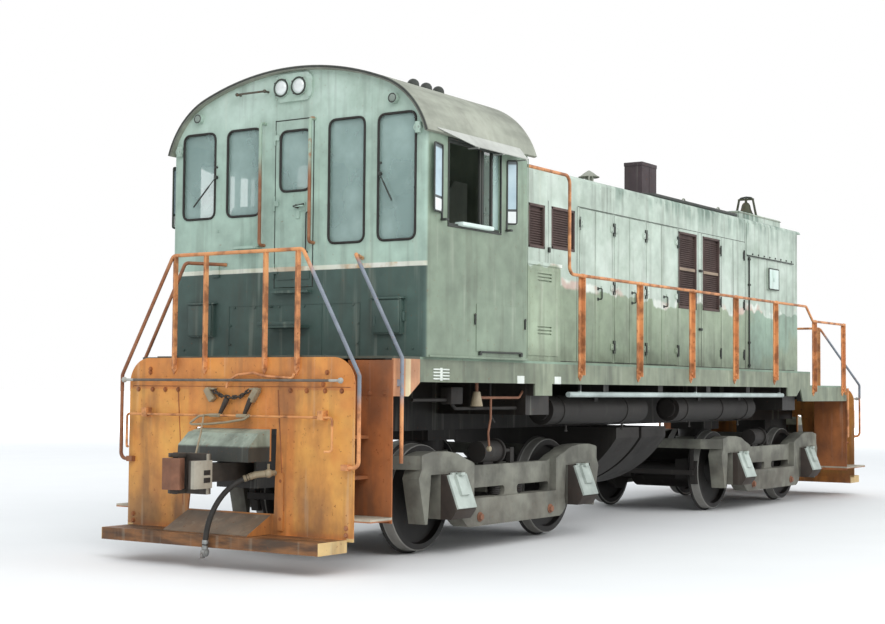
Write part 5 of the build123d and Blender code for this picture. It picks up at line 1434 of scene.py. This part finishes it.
class LOCO_OT_castings(bpy.types.Operator):
    """Round the cast edges of the truck frames, couplers and knuckles"""

    bl_idname = "loco.castings"
    bl_label = "Castings"

    def execute(self, context):
        for node, body, material, slot, width in (
                ("truck_frame_cab_end", "truck_cab_end", "truck", "truck_steel", 0.010),
                ("truck_frame_hood_end", "truck_hood_end", "truck", "truck_steel", 0.010),
                ("couplers", "frame", "coupler", "coupler_steel", 0.012),
                ("knuckle_cab_end", "jaw_cab_end", "rusty", "coupler_steel", 0.014),
                ("knuckle_hood_end", "jaw_hood_end", "rusty", "coupler_steel", 0.014)):
            item = cast_copy(node, width)
            piece(node + "_rounded", body, material, [item], [node])
        return {"FINISHED"}


class LOCO_OT_trucks(bpy.types.Operator):
    """Add the springs, box lugs and bolts of the trucks"""

    bl_idname = "loco.trucks"
    bl_label = "Truck details"

    def execute(self, context):
        for centre, word in ((-TRUCK_CENTRE, "cab"), (TRUCK_CENTRE, "hood")):
            body = f"truck_{word}_end"
            coils, irons, rusty = [], [], []
            for side in (-1, 1):
                for dx in (-0.22, 0.0, 0.22):
                    turns = [(centre + dx + 0.052 * math.cos(a * math.tau / 12), side * 1.02 + 0.052 * math.sin(
                        a * math.tau / 12), RAIL + 0.492 + 0.092 * a / 60) for a in range(61)]
                    coils.append(tube(turns, 0.011, sides=6))
                rusty += copies(bolt(0.036, (0, side, 0)), [(centre + dx, side * 1.158, RAIL + 0.310)
                                                            for dx in (-0.700, 0.670)])
                for near in (-1, 1):
                    x = centre + near * HALF_BASE
                    irons.append(slab((x - 0.035, side * 1.25, RAIL + 0.735),
                                      (x + 0.035, side * 1.305, RAIL + 0.775), 0.006))
            piece(f"truck_springs_{word}", body, "gear", coils)
            piece(f"truck_bolts_{word}", body, "truck", irons)
            piece(f"truck_rusty_bolts_{word}", body, "rusty", rusty)
        return {"FINISHED"}


class LOCO_OT_under_pipes(bpy.types.Operator):
    """Run the pipes, valves and tank bands under the sill and the cab"""

    bl_idname = "loco.under_pipes"
    bl_label = "Underbody piping"

    def execute(self, context):
        def run(side):
            y = side * 1.30
            parts = [tube([(-5.5, y, RAIL + 1.44), (-4.9, y, RAIL + 1.44), (-4.8, y, RAIL + 1.36),
                           (-3.7, y, RAIL + 1.36)], 0.016, bend=0.05),
                     tube([(-4.18, y, RAIL + 1.70), (-4.18, y, RAIL + 1.30), (-4.10, y, RAIL + 1.22)],
                          0.012, bend=0.05),
                     slab((-4.95, y - 0.06, RAIL + 1.40), (-4.75, y + 0.06, RAIL + 1.56), 0.012)]
            cock_y = side * 1.20
            for x in (-2.5, -1.2, 0.6, 2.1):
                parts.append(tube([(x, cock_y, RAIL + 1.17), (x, cock_y, RAIL + 1.10)], 0.012))
                parts.append(slab((x - 0.03, cock_y - 0.006, RAIL + 1.105),
                                  (x + 0.03, cock_y + 0.006, RAIL + 1.117), 0.002))
            return parts
        piece("under_pipes", "frame", "black", mirrored(run))

        def valve(side):
            y = side * 1.35
            return [drum((-4.500, y, 1.405), (-4.500, y, 1.545), 0.060, 20, edge=0.006, tip=0.034),
                    drum((-4.270, y - side * 0.015, 1.000), (-4.270, y + side * 0.015, 1.000),
                         0.026, 16, edge=0.003)]
        piece("cab_valves", "frame", "fitting", mirrored(valve))

        def branch(side):
            y = side * 1.35
            return [drum((-4.500, y, 1.540), (-4.500, y, 1.760), 0.016, 12),
                    tube([(-4.480, y, 1.487), (-4.278, y, 1.487), (-3.720, y, 1.487), (-3.640, y, 1.560),
                          (-3.640, y, 1.740)], 0.013, bend=0.05),
                    tube([(-4.246, y, 1.480), (-4.246, y, 1.289), (-4.290, y, 1.150), (-4.270, y, 1.020)],
                         0.011, bend=0.05)]
        piece("cab_valve_pipes", "frame", "rusty", mirrored(branch))

        def bands(side):
            return [hoop((x, side * 1.150, RAIL + 1.330), 0.153, 0.008, 30)
                    for x in (-2.70, -1.25, 0.35, 1.40, 2.20)]
        piece("tank_bands", "frame", "black", mirrored(bands))
        return {"FINISHED"}


class LOCO_OT_cab_inside(bpy.types.Operator):
    """Furnish the cab with padded seats, gauges and levers"""

    bl_idname = "loco.cab_inside"
    bl_label = "Cab inside"

    def execute(self, context):
        floor = RAIL + 2.450
        for side, word in ((-1, "right"), (1, "left")):
            y = side * 1.000
            pads = []
            for low, high, grow in (
                    ((-5.085, y - 0.190, floor + 0.425), (-4.765, y + 0.190, floor + 0.498), "z"),
                    ((-5.145, y - 0.190, floor + 0.505), (-5.095, y + 0.190, floor + 0.895), "x")):
                pad = slab(low, high, 0.0)
                hold([pad])
                bpy.ops.object.mode_set(mode="EDIT")
                bpy.ops.mesh.select_all(action="SELECT")
                bpy.ops.mesh.subdivide(number_cuts=5)
                bpy.ops.object.mode_set(mode="OBJECT")
                middle = (Vector(low) + Vector(high)) / 2
                half = (Vector(high) - Vector(low)) / 2
                for vertex in pad.data.vertices:
                    rel = vertex.co - middle
                    u, v, w = rel.x / half.x, rel.y / half.y, rel.z / half.z
                    if grow == "z":
                        swell = max(0.0, (1 - u * u) * (1 - v * v)) ** 0.5
                        vertex.co.z = middle.z + rel.z * (0.62 + 0.38 * swell)
                        vertex.co.x = middle.x + rel.x * (1 - 0.05 * v * v)
                    else:
                        swell = max(0.0, (1 - w * w) * (1 - v * v)) ** 0.5
                        vertex.co.x = middle.x + rel.x * (0.58 + 0.42 * swell)
                        vertex.co.y = middle.y + rel.y * (1 - 0.06 * w * w)
                smoother = pad.modifiers.new("smoother", "SUBSURF")
                smoother.levels = smoother.render_levels = 1
                bpy.ops.object.modifier_apply(modifier="smoother")
                bpy.ops.object.shade_smooth()
                pads.append(pad)
            seat = piece(f"seat_pads_{word}", "frame", "seat", pads,
                         ["cab_seats"] if word == "right" else ())
        x0 = -4.318
        gauges = [drum((x0 + 0.03, y, floor + 1.03), (x0 + 0.012, y, floor + 1.05), 0.050, 24, edge=0.004)
                  for y in (-0.80, -0.66, -0.52, -0.38)]
        gauges += [tube([(x0 + 0.06, -0.75, floor + 1.12), (x0 + 0.02, -0.75, floor + 1.22)], 0.009),
                   ball((x0 + 0.02, -0.75, floor + 1.23), 0.020, segments=14, rings=10),
                   tube([(x0 + 0.10, -0.55, floor + 1.13), (x0 + 0.02, -0.52, floor + 1.20)], 0.009),
                   ball((x0 + 0.02, -0.52, floor + 1.21), 0.018, segments=14, rings=10),
                   slab((x0 - 0.03, -0.90, floor + 0.60), (x0, -0.32, floor + 0.66), 0.006)]
        piece("stand_gauges", "frame", "dark", gauges)
        return {"FINISHED"}


class LOCO_PT_panel(bpy.types.Panel):
    """Lists the locomotive's operators and sizes."""

    bl_label = "Locomotive"
    bl_idname = "LOCO_PT_panel"
    bl_space_type = "VIEW_3D"
    bl_region_type = "UI"
    bl_category = "Locomotive"

    def draw(self, context):
        for group in (context.scene.loco_studio, context.scene.loco_fittings):
            for name in group.__annotations__:
                self.layout.prop(group, name)
        for operator in OPERATORS:
            self.layout.operator(operator.bl_idname)


OPERATORS = (
    LOCO_OT_stage, LOCO_OT_brake_hose, LOCO_OT_finishes, LOCO_OT_castings, LOCO_OT_windows, LOCO_OT_lamps,
    LOCO_OT_cab_trim, LOCO_OT_hood_trim, LOCO_OT_grilles, LOCO_OT_roof, LOCO_OT_rail_posts, LOCO_OT_pilots,
    LOCO_OT_trucks, LOCO_OT_under_pipes, LOCO_OT_cab_inside,
)
CLASSES = (StudioSizes, FittingSizes, *OPERATORS, LOCO_PT_panel)


def register():
    for item in CLASSES:
        bpy.utils.register_class(item)
    bpy.types.Scene.loco_studio = bpy.props.PointerProperty(type=StudioSizes)
    bpy.types.Scene.loco_fittings = bpy.props.PointerProperty(type=FittingSizes)


def unregister():
    del bpy.types.Scene.loco_fittings
    del bpy.types.Scene.loco_studio
    for item in reversed(CLASSES):
        bpy.utils.unregister_class(item)


def main():
    register()
    mix_materials()
    for operator in OPERATORS:
        group, name = operator.bl_idname.split(".")
        getattr(getattr(bpy.ops, group), name)()


if __name__ == "__main__":
    main()
